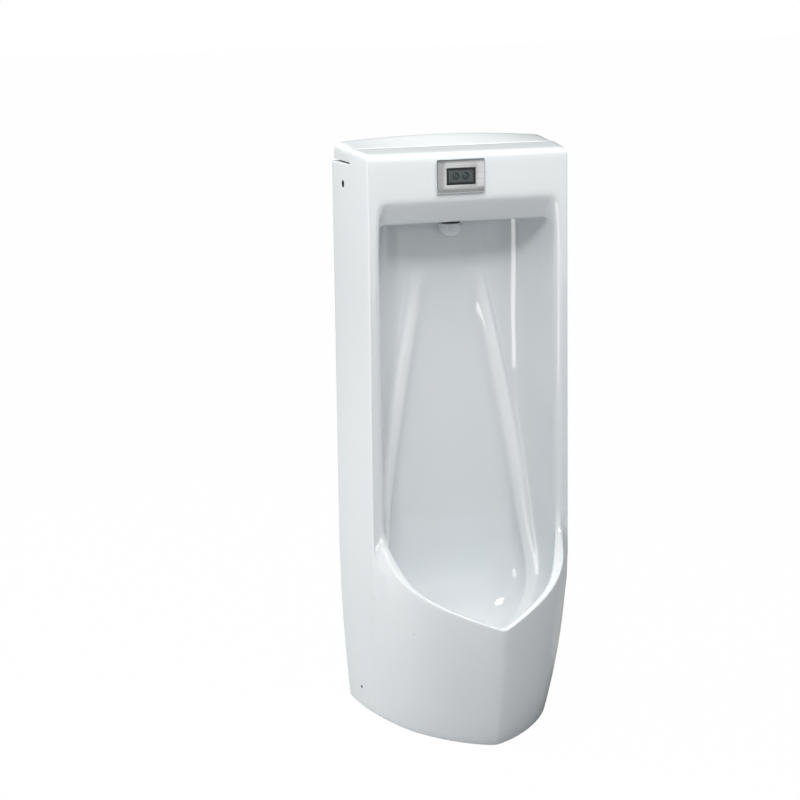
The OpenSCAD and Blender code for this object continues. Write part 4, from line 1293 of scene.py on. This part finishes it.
def makeFloor():
    bm = bmesh.new()
    bmesh.ops.create_grid(bm, x_segments=1, y_segments=1, size=studio["floorSize"] / 2)
    material, tree, shader = newMaterial("floorPaper", Base_Color=studio["floorColour"], Roughness=0.9)
    rays = node(tree, "ShaderNodeLightPath")
    share = node(tree, "ShaderNodeMath", {1: studio["floorShown"]}, operation="MULTIPLY")
    wire(tree, (rays, "Is Camera Ray", share, 0))
    whitened(tree, shader, "ShaderNodeEmission", share, "Material Output")
    meshObject(bm, "floor", [material], False)


# The camera sees white behind the part, and the part sees a dim sky
def makeWorld():
    world = bpy.data.worlds.new("studio")
    world.use_nodes = True
    scene.world = world
    tree = world.node_tree
    sky = tree.nodes["Background"]
    sky.inputs["Color"].default_value = studio["worldColour"]
    sky.inputs["Strength"].default_value = studio["world"]
    rays = node(tree, "ShaderNodeLightPath")
    either = node(tree, "ShaderNodeMath", operation="MAXIMUM")
    wire(tree, (rays, "Is Camera Ray", either, 0), (rays, "Is Transmission Ray", either, 1))
    whitened(tree, sky, "ShaderNodeBackground", either, "World Output")


# A light that shines shows in glossy surfaces, and one that spreads lights matt ones
def softbox(name, place, aim, size, power, shines=True, spreads=True):
    data = bpy.data.lights.new(name, "AREA")
    data.shape = "RECTANGLE"
    data.size, data.size_y = size
    data.energy = power
    data.color = studio["lampColour"]
    obj = bpy.data.objects.new(name, data)
    obj.visible_glossy = shines
    obj.visible_diffuse = spreads
    obj.location = place
    obj.rotation_euler = (Vector(aim) - Vector(place)).to_track_quat("-Z", "Y").to_euler()
    scene.collection.objects.link(obj)


makeFloor()
makeWorld()
softbox("sideLight", (-2.6, 0.9, 1.9), (0, 0, 0.6), (2.0, 2.4), 75, shines=False)
softbox("topLight", (0, 0.2, 2.9), (0, 0, 0.5), (2.4, 1.6), 24, shines=False)
softbox("overLight", (-0.2, -0.5, 2.0), (0, 0, 0.5), (1.0, 0.8), 10, shines=False)
softbox("keyLight", (-0.6, -1.15, 1.8), (0, 0, 0.6), (0.35, 0.35), 11)
softbox("frontLight", (0.2, -3.2, 1.7), (0, 0, 0.6), (2.4, 1.4), 6.5, shines=False)
softbox("fillLight", (0.7, -1.0, 1.8), (0, 0, 0.6), (0.8, 0.8), 5.2, shines=False)
softbox("ribLight", (-1.08, -0.98, 0.41), (0.12, 0.06, 0.25), (0.45, 0.5), 2.8, spreads=False)
softbox("reflectedCard", (1.65, -2.85, 0.65), (0, 0, 0.85), (1.6, 1.0), 3.4, spreads=False)
softbox("dimCard", (0.25, -2.9, 0.65), (0, 0, 0.85), (1.2, 1.0), 1.3, spreads=False)
scene.view_settings.view_transform = "Standard"
print("stage set")
